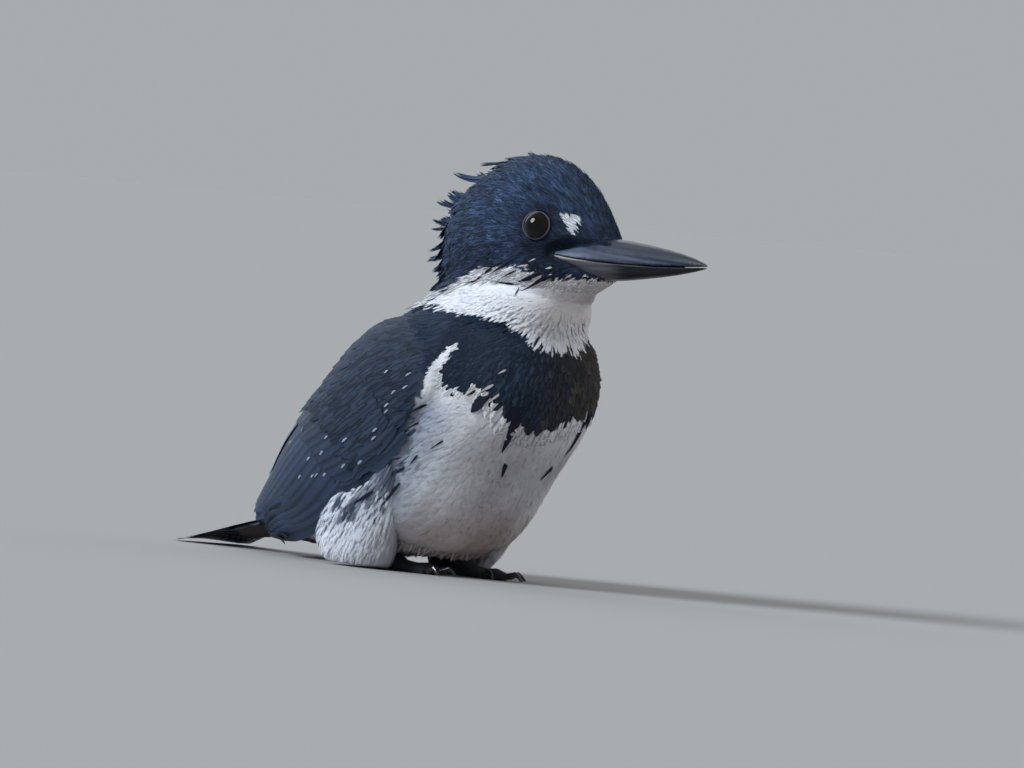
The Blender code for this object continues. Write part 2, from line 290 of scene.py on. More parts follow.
# The back of the crown under the crest, in mm: the furthest back that the skin goes, at each height. What
# goes beyond it is pushed in, but for a fifth of its reach.
CREST_BED = ((90, -12), (93, -2), (101, -3.5), (108, -4), (112, -3), (116, -0.5), (120, 1), (124, 4),
             (128, 7), (132, 11), (136, 17), (140, 21), (144, 26), (150, 31))
BED_FOOT, BED_LEFT = 91 * mm, 0.2
skin = joined("skin", FLESH + EYEBALLS + BILL)
close_up(skin, SKIN_GRAIN)
shrink(skin, COAT_DEPTH)
soften(skin, 4)
bed = points_of(skin.data)
limit = np.interp(bed[:, 2] / mm, *np.array(CREST_BED, float).T) * mm
beyond = (bed[:, 0] < limit) & (bed[:, 2] > BED_FOOT)
bed[:, 0] = np.where(beyond, limit + (bed[:, 0] - limit) * BED_LEFT, bed[:, 0])
move_points(skin.data, bed)
skin.data.update()
skin.data.shade_smooth()


def tree_of(mesh):
    return BVHTree.FromPolygons([v.co for v in mesh.vertices], [p.vertices for p in mesh.polygons])


def nearest(tree, points):
    """The surface's nearest points and its outward directions there."""
    found = [tree.find_nearest(point) for point in points.tolist()]
    return np.array([f[0] for f in found]), np.array([f[1] for f in found])


def off(tree, points):
    """How far the points lie from a surface."""
    return np.linalg.norm(nearest(tree, points)[0] - points, axis=1)


skin_tree = tree_of(skin.data)
bill_tree = tree_of(joined("bill outline", BILL).data)
wing_tree = tree_of(joined("wing outline", ("wing_right", "wing_left")).data)
for helper in ("bill outline", "wing outline"):
    bpy.data.objects.remove(bpy.data.objects[helper])

# The landmarks that the markings are drawn from
bill_low, bill_high = low_high("bill_upper")
eye_low, eye_high = low_high("eye_right")
EYE = (eye_low + eye_high) / 2 * (1, -1, 1)    # the left one's middle
BILL_ROOT = np.array((low_high("head")[1][0] + 2 * mm, 0, bill_low[2]))
VENT = np.array((low_high("trunk")[0][0], 0, 9 * mm))
NAPE = np.array((31, 0, 86)) * mm
SPINE = unit(NAPE - VENT)
DORSAL = np.array((-SPINE[2], 0, SPINE[0]))


def along_spine(points):
    return (points - VENT) @ SPINE


def round_spine(points):
    """Degrees round the trunk, on either side, from 0 at the back's mid-line to 180 at the belly's."""
    out = points - VENT
    return np.degrees(np.arctan2(np.abs(out[:, 1]), out @ DORSAL))


def follow(value, places):
    """A border that passes through the given places, in mm, read off at the value."""
    known, heights = np.array(places, float).T
    return np.interp(value, known, heights * mm)


# Borders of the markings, in mm: height against distance from the model's middle towards the bill,
# and, round the breast, height against degrees from the front, the bird's right counted positive
CAP_EDGE = ((-8, 96.5), (4, 97), (16, 99), (22, 104), (36, 107.5), (50, 108), (58, 106), (64, 105.5),
            (90, 106.5))
COLLAR_EDGE = ((-8, 92), (4, 91.6), (14, 91.8), (37, 90.6), (50, 88.8), (57, 84), (62, 81), (68, 80.5))
BAND_EDGE = ((-66, 72), (-60, 66), (-40, 61), (-20, 58.5), (-8, 56.5), (5, 52.5), (14, 52), (20, 53.5),
             (28, 57.5), (36, 61.5), (40, 67), (45, 67), (47.6, 63.8), (56, 64.5), (63, 66), (66, 72))
BREAST_MIDDLE = np.array((20, 0, 0)) * mm
WEDGE_TOP = 80.6 * mm
# How far round the band reaches, in degrees, at each height in mm
BAND_SIDE = ((60, 62), (70.6, 63.6), (74.5, 61.5), (77.8, 58.6), (81, 55))
# The folded wing's lower and front edge: mm along the trunk's mid-line, and degrees round from the back
WING_EDGE = ((0, 110), (8, 117), (24, 121), (40, 125), (56, 130), (72, 133), (96, 134), (112, 129),
             (125, 125), (134, 119.5), (142, 109), (146, 105.5), (149, 104.5), (153, 95))


def wander(points, scale, seed):
    """A smooth value from -1 to 1 that wanders over the body."""
    turn = np.random.default_rng(seed).normal(size=(3, 6))
    phase = np.random.default_rng(seed + 1).uniform(0, 2 * math.pi, 6)
    return np.sin(points @ turn / scale + phase).sum(axis=1) / 3.5


SLATE = np.array((0.021, 0.035, 0.066))
CAP = np.array((0.036, 0.065, 0.130))
BAND = np.array((0.019, 0.033, 0.058))
WHITE = np.array((0.82, 0.83, 0.87))
SHADED_THROAT_WHITE = np.array((0.74, 0.70, 0.70))
SHADED_BELLY_WHITE = np.array((0.50, 0.49, 0.53))
BELLY_SHADE = np.array((0.42, 0.34, 0.32))
FLANK_GREY = np.array((0.36, 0.41, 0.51))
BUFF = np.array((0.36, 0.26, 0.17))
BAND_BROWN = np.array((0.048, 0.042, 0.040))


def blend(first, second, share):
    return first + (second - first) * np.reshape(share, (-1, 1))


def on_one_side(points, side):
    """The places, with those of the other side mirrored over; side is 1 for the bird's left."""
    return np.stack([points[:, 0], np.abs(points[:, 1]) * side, points[:, 2]], axis=1)


def off_eye(points):
    """How far a place is from the nearer eyeball's middle."""
    return np.linalg.norm(on_one_side(points, 1) - EYE, axis=1)


def breast_turn(points):
    """Degrees round the breast from straight ahead, the bird's right side counted positive."""
    out = points - BREAST_MIDDLE
    return np.degrees(np.arctan2(-out[:, 1], out[:, 0]))


def below_wing(points):
    """How many degrees round the trunk a place lies beyond the folded wing's edge."""
    return round_spine(points) - follow(along_spine(points) / mm, WING_EDGE) / mm


def white_share(points, jitter=None):
    """1 where the plumage is white, 0 where it is slate. The jitter, in metres, frays the borders."""
    jitter = np.zeros(len(points)) if jitter is None else jitter
    x, y, z = points.T
    turn = breast_turn(points)
    cap = z > follow(x / mm, CAP_EDGE) + jitter
    collar = ~cap & (z > follow(x / mm, COLLAR_EDGE) + jitter)
    side = follow(z / mm, BAND_SIDE) / mm
    band = (z > follow(turn, BAND_EDGE) + jitter) & (np.abs(turn) < side + jitter / mm)
    shoulder = (z > WEDGE_TOP + jitter) & (x < 60 * mm)
    back = below_wing(points) < jitter / mm * 1.2
    white = collar | ~(cap | band | shoulder | back)
    return np.where(lore_spot(points, jitter * 0.7), 1.0, white.astype(float))


SPOT_TOP, SPOT_FOOT = np.array((69.9, 127.8)) * mm, np.array((72.6, 121.0)) * mm
SPOT_HALF = 3.2 * mm


def lore_spot(points, jitter):
    """The white spot before the eye: a wedge that narrows downwards."""
    share = (points[:, 2] - SPOT_FOOT[1]) / (SPOT_TOP[1] - SPOT_FOOT[1])
    middle = SPOT_FOOT[0] + (SPOT_TOP[0] - SPOT_FOOT[0]) * share
    half = SPOT_HALF * (0.2 + 0.8 * np.clip(share, 0, 1)) + jitter * 0.2
    return (share > 0) & (share < 1) & (np.abs(points[:, 0] - middle) < half)


def plumage_colour(points, draw):
    """Each feather's colour by its place on the body. The draws fray the borders and vary the shade."""
    jitter = draw.normal(0, 0.7, len(points)) * mm
    white = white_share(points, jitter)
    x, y, z = points.T
    turn, gap, along = breast_turn(points), below_wing(points), along_spine(points) / mm
    # The white ground, with painted shade on the throat's front, the lower belly, its foot, the vent and in
    # fold-like streaks, then the flank's grey and a painted shadow under the wing's edge
    pale = np.tile(WHITE, (len(points), 1))
    # Painted shade: the throat's front is a dimmer, warmer white than the collar.
    front = ease(50 * mm, 66 * mm, x) * ease(84 * mm, 92 * mm, z)
    pale = blend(pale, SHADED_THROAT_WHITE, front)
    pale[z > 112 * mm] = WHITE * 1.05
    # Painted shade: the belly's lower front is greyed.
    low = ease(80, 20, np.abs(turn)) * ease(66 * mm, 40 * mm, z)
    pale = blend(pale, SHADED_BELLY_WHITE, low)
    # Painted shade: the belly's foot by the legs is a warm grey.
    foot_shade = ease(34 * mm, 12 * mm, z) * ease(-45 * mm, -5 * mm, x)
    pale = blend(pale, BELLY_SHADE, foot_shade * 0.8)
    # The grey beside the wing's edge is partly the flank's own mottling and partly painted shade.
    flank = ease(34, 4, gap) * ease(66 * mm, 54 * mm, z) * ease(8 * mm, 18 * mm, z)
    pale = blend(pale, FLANK_GREY * 0.85, flank)
    # Painted shade: the vent under the wing tips and tail is a dark brown.
    vent_shade = ease(-42 * mm, -56 * mm, x) * ease(20 * mm, 14 * mm, z)
    pale = blend(pale, BELLY_SHADE * 0.16, vent_shade)
    # Painted shade in wandering fold-like streaks over the lower belly and its foot.
    fold_shade = ease(-0.2, 0.8, wander(points * (0.5, 1.6, 0.8), 8 * mm, 5)) * np.maximum(low, foot_shade)
    pale = blend(pale, pale * (0.80, 0.76, 0.74), fold_shade)
    # Painted shadow: the flank right under the wing's lower edge is darkened to a fifth.
    under = ease(5, 0.5, gap) * ease(64 * mm, 52 * mm, z) * (gap > -6)
    pale = blend(pale, pale * 0.2, under)
    mottle = ease(18, 2, gap) * ease(48, 60, along) * ease(132, 118, along) * (gap > 0)
    patchy = 0.35 + 0.65 * ease(-0.5, 0.5, wander(points, 4 * mm, 21))
    mottled = draw.uniform(size=len(points)) < mottle * patchy * 0.4
    # The dark parts: the back, the cap with its face, and the band, browner on the bird's left
    dark = np.tile(SLATE, (len(points), 1))
    capped = z > follow(x / mm, CAP_EDGE)
    dark[capped] = CAP
    face = capped * ease(44 * mm, 58 * mm, x) * ease(128 * mm, 119 * mm, z)
    cheek = capped * ease(120 * mm, 108 * mm, z)
    near_eye = ease(12 * mm, 6 * mm, off_eye(points))
    dark = dark * (1 - np.maximum.reduce([face * 0.6, cheek * 0.35, near_eye * 0.6]))[:, None]
    banded = ~capped & (x > 20 * mm) & (np.abs(turn) < 70)
    dark[banded] = BAND
    dark = np.where((banded & (np.abs(turn) > 50))[:, None], SLATE * 0.8, dark)
    far = banded * ease(26, -16, turn)
    dark = blend(dark, BAND_BROWN, far * 0.8)
    buff = draw.uniform(size=len(points)) < far * 0.3
    dark[buff] = blend(dark[buff], BUFF, draw.uniform(0.04, 0.16, buff.sum()))
    # Both, with the mottled flank and a buff notch by the band
    colour = blend(dark, pale, white)
    colour[mottled] = blend(colour[mottled], SLATE * 1.5, draw.uniform(0.4, 0.95, mottled.sum()))
    notch = (((turn - 42) / 7) ** 2 + ((z / mm - 64.5) / 4) ** 2 < 1) & (white > 0.5)
    colour[notch] = blend(colour[notch], BUFF, 0.3)
    spread = np.where(white > 0.5, 0.05, 0.18)
    return colour * (1 + spread * draw.uniform(-1, 1, len(points)))[:, None]


def paint_points(mesh, colours, marks=0):
    """Give each point its colour, and in the fourth channel the mark that tells of white spots."""
    rows = np.column_stack([colours, np.broadcast_to(marks, len(colours))])
    layer = mesh.color_attributes.new("tint", "FLOAT_COLOR", "POINT")
    layer.data.foreach_set("color", rows.astype(np.float32).ravel())


def ride(piece, finish, slot, *nodes):
    """Dress a piece, let it move with the body, and let it stand for the plain nodes it covers."""
    piece.data.materials.append(finish)
    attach(piece, "root")
    if nodes:
        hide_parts(*nodes)


paint_points(skin.data, plumage_colour(points_of(skin.data), np.random.default_rng(1)) * 0.8)
skin_finish, inputs, start = new_finish("skin under the feathers", 0.85)
down = start.noise(700.0, 3.0)
feed(start.tint().shade(down * 0.5 + 0.7), inputs["Base Color"])
bump(start, down, 0.3 * mm, inputs)
ride(skin, skin_finish, "white_feathers", *FLESH)

# ---- The small feathers
# Each is a shaft with barbs, soft and parted on head and belly, or closed to a firm vane on the back.
# They are rooted in the skin, lie along it towards the tail and overlap like tiles.
FRAMES = 5    # places along a feather where it is fitted to the skin
TRIES = 5     # places tried for each root that is kept


def flow(points):
    """The lie of the coat: away from the bill over the head and neck, then along the body."""
    off_bill = points - BILL_ROOT
    away = np.linalg.norm(off_bill, axis=1, keepdims=True)
    off_bill = off_bill / np.maximum(away, 1e-6)
    off_bill[:, 2] -= 0.28 * ease(126 * mm, 112 * mm, points[:, 2])
    share = ease(38 * mm, 84 * mm, away)
    return unit(off_bill * (1 - share) + (-SPINE) * share)


def lie_along(vectors, normals):
    return unit(vectors - (vectors * normals).sum(axis=1, keepdims=True) * normals)


def roots_on(mesh, where, gap, seed):
    """Roots spread over the skin where the place allows, about as far apart as its gap says."""
    mesh.calc_loop_triangles()
    corners = triples(mesh.loop_triangles, "vertices", np.int32)
    a, b, c = points_of(mesh)[corners].transpose(1, 0, 2)
    middle = (a + b + c) / 3
    keep = where(middle)
    a, b, c, middle = a[keep], b[keep], c[keep], middle[keep]
    normal = np.cross(b - a, c - a)
    area = np.linalg.norm(normal, axis=1) / 2
    dense = area / gap(middle) ** 2
    chance = np.random.default_rng(seed)
    count = int(dense.sum() * TRIES)
    pick = chance.choice(len(a), count, p=dense / dense.sum())
    u, v = chance.uniform(size=(2, count))
    u, v = np.where(u + v > 1, 1 - u, u), np.where(u + v > 1, 1 - v, v)
    spots = a[pick] + (b - a)[pick] * u[:, None] + (c - a)[pick] * v[:, None]
    gaps = gap(spots)
    cell = gaps.max()
    grid, kept = {}, []
    for k, (spot, near, key) in enumerate(zip(spots, gaps, np.floor(spots / cell).astype(int).tolist())):
        around = [other for i in (-1, 0, 1) for j in (-1, 0, 1) for h in (-1, 0, 1)
                  for other in grid.get((key[0] + i, key[1] + j, key[2] + h), ())]
        if around and ((spots[around] - spot) ** 2).sum(axis=1).min() < near * near:
            continue
        grid.setdefault(tuple(key), []).append(k)
        kept.append(k)
    return spots[kept], unit(normal[pick[kept]])


def fit_to(tree, roots, directions, lengths, depth, rise, base_lift=0.0):
    """Frames along each feather: a centre, the way across and the way out, on the surface's own curve."""
    step = (lengths / (FRAMES - 1))[:, None]
    base, normals = nearest(tree, roots)
    heading = lie_along(directions, normals)
    centres, sides, outs = [], [], []
    for k in range(FRAMES):
        share = k / (FRAMES - 1)
        lift = (base_lift - depth * (1 - share) ** 2 + rise * share)[:, None]
        centres.append(base + normals * lift)
        sides.append(unit(np.cross(heading, normals)))
        outs.append(normals)
        base, normals = nearest(tree, base + heading * step)
        heading = lie_along(heading, normals)
    return np.stack(centres, 1), np.stack(sides, 1), np.stack(outs, 1)


def width_at(share, tip):
    """Half width along a vane, 1 at its widest; tip is where its end begins to round off."""
    share = np.asarray(share, float)
    shoulder = 0.35 + 0.65 * np.sqrt(np.clip(share / tip, 0, 1))
    end = np.sqrt(np.clip(1 - ((share - tip) / (1.02 - tip)) ** 2, 0, 1))
    return np.where(share < tip, shoulder, end)


def grid_faces(rows, columns):
    """The four-sided faces between points that stand in rows."""
    stride = columns + 1
    return np.array([(r * stride + c, r * stride + c + 1, (r + 1) * stride + c + 1, (r + 1) * stride + c)
                     for r in range(rows) for c in range(columns)])


def firm_vane(chance, tip=0.62, rows=6, columns=4, arch=0.28, notch=0.05):
    """A closed vane, arched across: points as (across, along, out) and faces of four."""
    along = np.linspace(0.0, 1.0, rows + 1)
    wide = np.linspace(-1, 1, columns + 1)
    points = []
    for share in along:
        half = max(width_at(share, tip), 0.05)
        for side in wide:
            pull = notch * chance.uniform(-1, 1) * (share > 0.4) + (0.10 * side * side * (share > tip))
            points.append((side * half, share - pull * 0.6, -arch * side * side * half))
    return np.array(points), grid_faces(rows, columns)


def loose_vane(chance, barbs=4, tip=0.6, arch=0.25, fray=0.12, reach=0.42, wide=0.55):
    """A soft vane of parted barb locks on both sides of the shaft, and one at its end."""
    points, faces = [], []

    def lock(path, thick):
        first = len(points)
        for k, (u, t) in enumerate(path):
            before, after = path[max(k - 1, 0)], path[min(k + 1, len(path) - 1)]
            du, dt = after[0] - before[0], after[1] - before[1]
            size = math.hypot(du, dt) or 1
            half = thick * (1, 0.85, 0.5, 0.1)[min(k + 4 - len(path), 3)]
            for sign in (-1, 1):
                at_u, at_t = u - sign * dt / size * half * 1.6, t + sign * du / size * half * 0.6
                points.append((at_u, at_t, -arch * at_u * at_u + sign * 0.03))
        for k in range(len(path) - 1):
            a = first + 2 * k
            faces.append((a, a + 2, a + 3, a + 1))

    for side in (-1, 1):
        for k in range(barbs):
            begin = 0.04 + 0.68 * k / barbs
            end = min(begin + reach * chance.uniform(0.85, 1.15), 0.97)
            out = side * float(width_at(end, tip)) * chance.uniform(1 - fray, 1 + fray)
            bend = begin + (end - begin) * 0.42
            lock([(0.0, begin), (out * 0.55, bend), (out * 0.9, (bend + end) / 2 + 0.03), (out, end)],
                 wide / barbs)
    lean = chance.uniform(-0.12, 0.12)
    end = 1.0 + chance.uniform(-0.04, 0.04)
    lock([(0.0, 0.55), (lean * 0.4, 0.72), (lean * 0.8, 0.87), (lean, end)], 0.2)
    return np.array(points), np.array(faces)


def mesh_of(name, points, faces):
    """A mesh of four-sided faces, from arrays."""
    mesh = bpy.data.meshes.new(name)
    mesh.vertices.add(len(points))
    move_points(mesh, points)
    mesh.loops.add(faces.size)
    mesh.loops.foreach_set("vertex_index", faces.astype(np.int32).ravel())
    mesh.polygons.add(len(faces))
    mesh.polygons.foreach_set("loop_start", np.arange(0, faces.size, 4, dtype=np.int32))
    mesh.update(calc_edges=True)
    mesh.shade_smooth()
    return mesh


BODY_LENGTH = 240 * mm
PATCH = 0.003                       # side of a small feather's speck on the bake map
CELL_EDGE, CELL_FILL = 0.03, 0.94    # margin and side of a large feather's patch in its cell


def unwrap(points):
    """The body's own unwrap: how far round it a place lies, and how far along."""
    out = points - VENT
    around = np.arctan2(out[:, 1], out @ DORSAL) / (2 * math.pi)
    return np.stack([around, (out @ SPINE) / BODY_LENGTH], axis=1)


def map_corners(mesh, name, values):
    corners = np.empty(len(mesh.loops), np.int32)
    mesh.loops.foreach_get("vertex_index", corners)
    layer = mesh.uv_layers.new(name=name)
    layer.data.foreach_set("uv", values[corners].astype(np.float32).ravel())


def feathers(name, frames, widths, shapes, tints, seed, soft=0.6, marks=None, large=False):
    """One mesh of many feathers, each cut from one of the given shapes and laid on its frames. Soft ones
    are shaded more like the body under them. A mark of 1 gives a feather a row of white spots on each
    edge. Large feathers each take a cell of the bake map, and small ones a speck at their root's place
    on the body's unwrap."""
    centres, sides, outs = frames
    last = centres.shape[1] - 1
    marks = np.zeros(len(centres)) if marks is None else marks
    choice = np.random.default_rng(seed).integers(len(shapes), size=len(centres))
    points, faces, vane_map, bake_map, colours, ways, count = [], [], [], [], [], [], 0
    if large:
        cells = math.ceil(math.sqrt(len(centres)))
        patch_size = CELL_FILL / cells
        home = np.stack(np.divmod(np.arange(len(centres)), cells), axis=1) / cells + CELL_EDGE / cells
    else:
        patch_size = PATCH
        home = unwrap(centres[:, 0])
        home = (home - home.min(0)) / (np.ptp(home, axis=0) + 1e-9) * (1 - PATCH)
    for k, (shape, quads) in enumerate(shapes):
        own = np.flatnonzero(choice == k)
        if not len(own):
            continue
        along = np.clip(shape[:, 1], 0, 1) * last
        low = np.minimum(along.astype(int), last - 1)
        share = (along - low)[None, :, None]

        def read(rows):
            return rows[own][:, low] * (1 - share) + rows[own][:, low + 1] * share

        size = widths[own][:, None, None]
        made = read(centres) + read(sides) * shape[None, :, 0, None] * size
        made = made + read(outs) * shape[None, :, 2, None] * size
        points.append(made.reshape(-1, 3))
        offsets = count + np.arange(len(own)) * len(shape)
        faces.append((quads[None] + offsets[:, None, None]).reshape(-1, 4))
        count += made.shape[0] * made.shape[1]
        local = np.stack([shape[:, 0] * 0.5 + 0.5, shape[:, 1]], axis=1)
        vane_map.append(np.tile(local, (len(own), 1)))
        patch = home[own][:, None] + np.clip(local, 0, 1)[None] * patch_size
        bake_map.append(patch.reshape(-1, 2))
        colours.append(np.repeat(np.column_stack([tints[own], marks[own]]), len(shape), axis=0))
        ways.append(read(outs).reshape(-1, 3))
    mesh = mesh_of(name, np.concatenate(points), np.concatenate(faces))
    map_corners(mesh, "OFBake", np.concatenate(bake_map))
    map_corners(mesh, "vane", np.concatenate(vane_map))
    colours = np.concatenate(colours)
    paint_points(mesh, colours[:, :3], colours[:, 3])
    own_ways = triples(mesh.vertex_normals, "vector")
    ways = unit(unit(np.concatenate(ways)) * soft + own_ways * (1 - soft))
    mesh.normals_split_custom_set_from_vertices(ways.astype(np.float32))
    return link(name, mesh)


def sides_of(centres, outs):
    """The way to each vane's own side, all along its line."""
    return unit(np.cross(unit(np.gradient(centres, axis=1)), outs))


def shades(colour, count, low, high, draw):
    """One colour for each of many feathers, a little lighter or darker from one to the next."""
    return np.tile(colour, (count, 1)) * draw.uniform(low, high, (count, 1))


def vanes(shape, count, draw):
    return [shape(draw) for _ in range(count)]


SPOTS_IN_ROW = 9


def plumage_finish(name, streak, edge, roughness, sheen=0.25, grain=0.36, relief=0.04 * mm):
    """A feather's own colour with a dark shaft streak, paler edges and tip, fine barbs and, where it is
    marked, a row of white spots on each edge."""
    made, inputs, start = new_finish(name, roughness, Specular_IOR_Level=sheen)
    place = start.node("ShaderNodeUVMap", {"uv_map": "vane"})
    split = start.node("ShaderNodeSeparateXYZ", None, {0: place})
    across_vane = (split - 0.5).size()
    along_vane = Wire(start.tree, split.socket.node.outputs[1])
    shaft = across_vane.step(0.16, 0.02)
    rim = across_vane.step(0.25, 0.5)
    barbs = ((along_vane * 26 - across_vane * 16) * (2 * math.pi)).maths("SINE")
    tint = start.tint()
    mark = Wire(start.tree, tint.socket.node.outputs["Alpha"])
    shade = (1 - shaft * streak + rim * edge) * (along_vane.step(0.93, 1.0) * edge + 1)
    own = tint.shade(shade * ((start.noise(900.0) - 0.5) * grain + 1) * (barbs * 0.05 + 1))
    row = (SPOTS_IN_ROW * along_vane).maths("FRACT")
    row = (row - 0.5).size().step(0.2, 0.1) * across_vane.step(0.14, 0.22) * across_vane.step(0.46, 0.4)
    spots = mark * row * along_vane.step(0.3, 0.4)
    feed((spots * 0.8).mix(own, (0.50, 0.54, 0.60, 1)), inputs["Base Color"])
    bump(start, barbs * 0.5 + shaft, relief, inputs)
    return made


def by_wedge(points):
    """1 about the white wedge before the folded wing, where the feathers are small."""
    turn, z = np.abs(breast_turn(points)), points[:, 2]
    return ease(34, 42, turn) * ease(74, 66, turn) * ease(54 * mm, 64 * mm, z) * ease(90 * mm, 82 * mm, z)


def lengths_at(points):
    """Contour feathers' length: shortest round the bill and the eyes, longest on belly and flanks."""
    by_bill = np.interp(off(bill_tree, points) / mm, (0, 4, 14, 40, 80, 110), (1.5, 2.6, 4.4, 6.8, 10, 12))
    by_eye = np.interp(off_eye(points) / mm, (5, 8, 15, 30), (1.5, 2.6, 5.0, 12))
    return np.minimum(by_bill, by_eye) * (1 - 0.5 * by_wedge(points)) * mm


def on_head(points):
    return points[:, 2] > follow(points[:, 0] / mm, CAP_EDGE) - 3 * mm


def is_white(points):
    return white_share(points) > 0.5


WING_CLEAR = 2.4 * mm


def neck_or_below(points):
    return ~on_head(points) & (off(wing_tree, points) > WING_CLEAR)


def coat(name, where, shape, finish, slot, seed, size=1.0, gap=0.3, stout=0.3, rise=0.1, steer=0.0,
         soft=0.6, base_lift=None, paint=plumage_colour, cut=8):
    """A tract of the coat: rooted, sized by its place, laid along the skin and coloured by the markings.
    Gap, stout and rise are shares of a feather's length: how far apart the roots are, half its width, and
    how far its tip stands off. Steer turns feathers aside by chance, and cut is the number of shapes."""
    roots, normals = roots_on(skin.data, where, lambda p: lengths_at(p) * size * gap, seed)
    chance = np.random.default_rng(seed + 100)
    length = lengths_at(roots) * size * chance.uniform(0.85, 1.15, len(roots))
    spread = unit(np.cross(flow(roots), normals)) * chance.normal(0, 0.12 + steer, (len(roots), 1))
    ends = length * rise * chance.uniform(0.7, 1.3, len(roots))
    base = np.zeros(len(roots)) if base_lift is None else base_lift(roots)
    frames = fit_to(skin_tree, roots, flow(roots) + spread, length, length * 0.05, ends, base)
    tints = paint(frames[0][:, FRAMES - 2], chance)
    made = feathers(name, frames, length * stout, vanes(shape, cut, chance), tints, seed, soft)
    ride(made, finish, slot)


SIDES = (("right", -1), ("left", 1))
head_finish = plumage_finish("head feathers", 0.6, 0.7, 0.6, 0.15)
white_finish = plumage_finish("white feathers", 0.01, 0.01, 0.85, 0.05, 0.08, 0.008 * mm)
band_finish = plumage_finish("band feathers", 0.45, 1.5, 0.65, 0.12)
back_finish = plumage_finish("slate feathers", 0.5, 0.3, 0.6, 0.15)
EYE_CLEAR = 5.3 * mm
BILL_CLEAR = 0.5 * mm
HEAD_FRONT = 88 * mm


def on_face(points):
    return (points[:, 0] < HEAD_FRONT) & (off(bill_tree, points) > BILL_CLEAR)


def fine_lock(chance):
    return loose_vane(chance, 3, reach=0.46, wide=0.5)


def silky_lock(chance):
    return loose_vane(chance, 3, arch=0.12, reach=0.55, wide=0.75)


def head_colour(points, draw):
    """The head's feathers differ more from each other, which shows them as streaks."""
    colour = plumage_colour(points, draw)
    pale = colour.mean(axis=1, keepdims=True) > 0.3
    locks = 1 + 0.3 * wander(points * (0.3, 1, 1), 1.1 * mm, 61)[:, None]
    return colour * np.where(pale, 1, locks * draw.choice((0.6, 0.85, 1.1, 1.5), (len(points), 1)))


for side, sign in SIDES:
    coat(f"head_feathers_{side}",
         lambda p: on_head(p) & on_face(p) & (off_eye(p) > EYE_CLEAR) & (p[:, 1] * sign > 0), fine_lock,
         head_finish, "slate_feathers", 11, size=1.35, gap=0.15, stout=0.12, rise=0.13, soft=0.35,
         paint=head_colour)

# The white feathers of collar, throat and belly, then the dark ones of breast band and back
THROAT_PUFF = 3.0 * mm
BAND_REAR = 15 * mm


def off_rows(points):
    """Off the head, and off the wing but for its front edge, where white feathers overlap it."""
    reach = np.where(points[:, 2] > 56 * mm, 1.3 * mm, WING_CLEAR)
    return ~on_head(points) & (off(wing_tree, points) > reach)


def puffed(points):
    """The throat's feathers stand off it in a full bib under the bill."""
    x, z = points[:, 0], points[:, 2]
    return THROAT_PUFF * ease(34 * mm, 54 * mm, x) * ease(89 * mm, 98 * mm, z) * ease(103 * mm, 100 * mm, z)


coat("collar_feathers", lambda p: off_rows(p) & is_white(p) & on_face(p) & (p[:, 2] > 78 * mm), silky_lock,
     white_finish, "white_feathers", 31, size=1.4, gap=0.08, stout=0.085, rise=0.03, soft=0.97,
     base_lift=puffed)
for side, sign in SIDES:
    coat(f"belly_feathers_{side}",
         lambda p: off_rows(p) & is_white(p) & (p[:, 2] < 82 * mm) & (p[:, 1] * sign > -1 * mm), silky_lock,
         white_finish, "white_feathers", 33, size=1.3, gap=0.078, stout=0.075, rise=0.03, soft=0.97)
coat("breast_band", lambda p: neck_or_below(p) & ~is_white(p) & (p[:, 0] > BAND_REAR),
     lambda c: firm_vane(c, arch=0.45), band_finish, "slate_feathers", 21, size=0.85, gap=0.25, stout=0.34,
     rise=0.12, soft=0.35)
coat("back_feathers", lambda p: neck_or_below(p) & ~is_white(p) & (p[:, 0] <= BAND_REAR), firm_vane,
     back_finish, "slate_feathers", 41, size=0.95, gap=0.26, stout=0.3)

# ---- The crest
# Long narrow feathers at the back of the crown and the nape, gathered into pointed locks that stand free.
# Each lock leaves the head along its lie and ends at a tip of its own.
CREST_TIPS = (    # tip: x, y, z and length, in mm
    (5.6, 0, 141.6, 25), (-7.1, -2, 137.9, 27), (-10.0, 1, 131.5, 22), (-3.8, -2, 129.7, 15),
    (-11.1, 0, 126.6, 20), (-5.4, -3, 124.8, 14), (-15.9, 1, 120.8, 22), (-9.1, -2, 119.4, 14),
    (-13.1, 2, 116.6, 18), (-8.4, -1, 113, 14), (-15.4, 0, 107.1, 20), (-12.5, -2, 103.2, 15),
    (-11.2, -1, 100, 15), (14.4, -2, 137.4, 14), (22, -2, 144.4, 18), (-15.5, -1, 127.8, 21),
    (-9.5, 1, 123.5, 16), (-17, -1, 117.6, 22), (-10, 1, 111, 15), (-17.5, -1, 110, 22),
    (-16.5, 1, 103.6, 18), (12, 1, 140.4, 16), (2, 0, 137.2, 20), (-12, 0, 130.5, 14),
    (-13.5, 3, 125.5, 13), (-13, -4, 121, 12), (-14.5, 3, 114.5, 13), (-13.5, -4, 107, 13),
    (-15, 2, 100.5, 13), (-12, -3, 96.5, 12), (6, 5, 137, 20), (-2, 6, 130, 18), (-5, 7, 122, 17),
    (-6, 7, 114, 16), (-6, 7, 106, 15), (30, 1, 147.4, 14), (0, -7, 124, 15), (-3, -8, 115, 15),
    (-5, -8, 107, 14),
)
CREST_HEART = np.array((24, 0, 119)) * mm
CREST_FRAMES = 9
chance = np.random.default_rng(51)
roots, tips = [], []
crest_tips = list(CREST_TIPS)
for x, y, z, reach in CREST_TIPS:    # lesser locks beside each long one
    crest_tips += [(x + chance.uniform(5, 10), y + side * chance.uniform(2, 5), z + chance.uniform(-2, 1.5),
                    int(reach * 0.65)) for side in (-1, 1)]
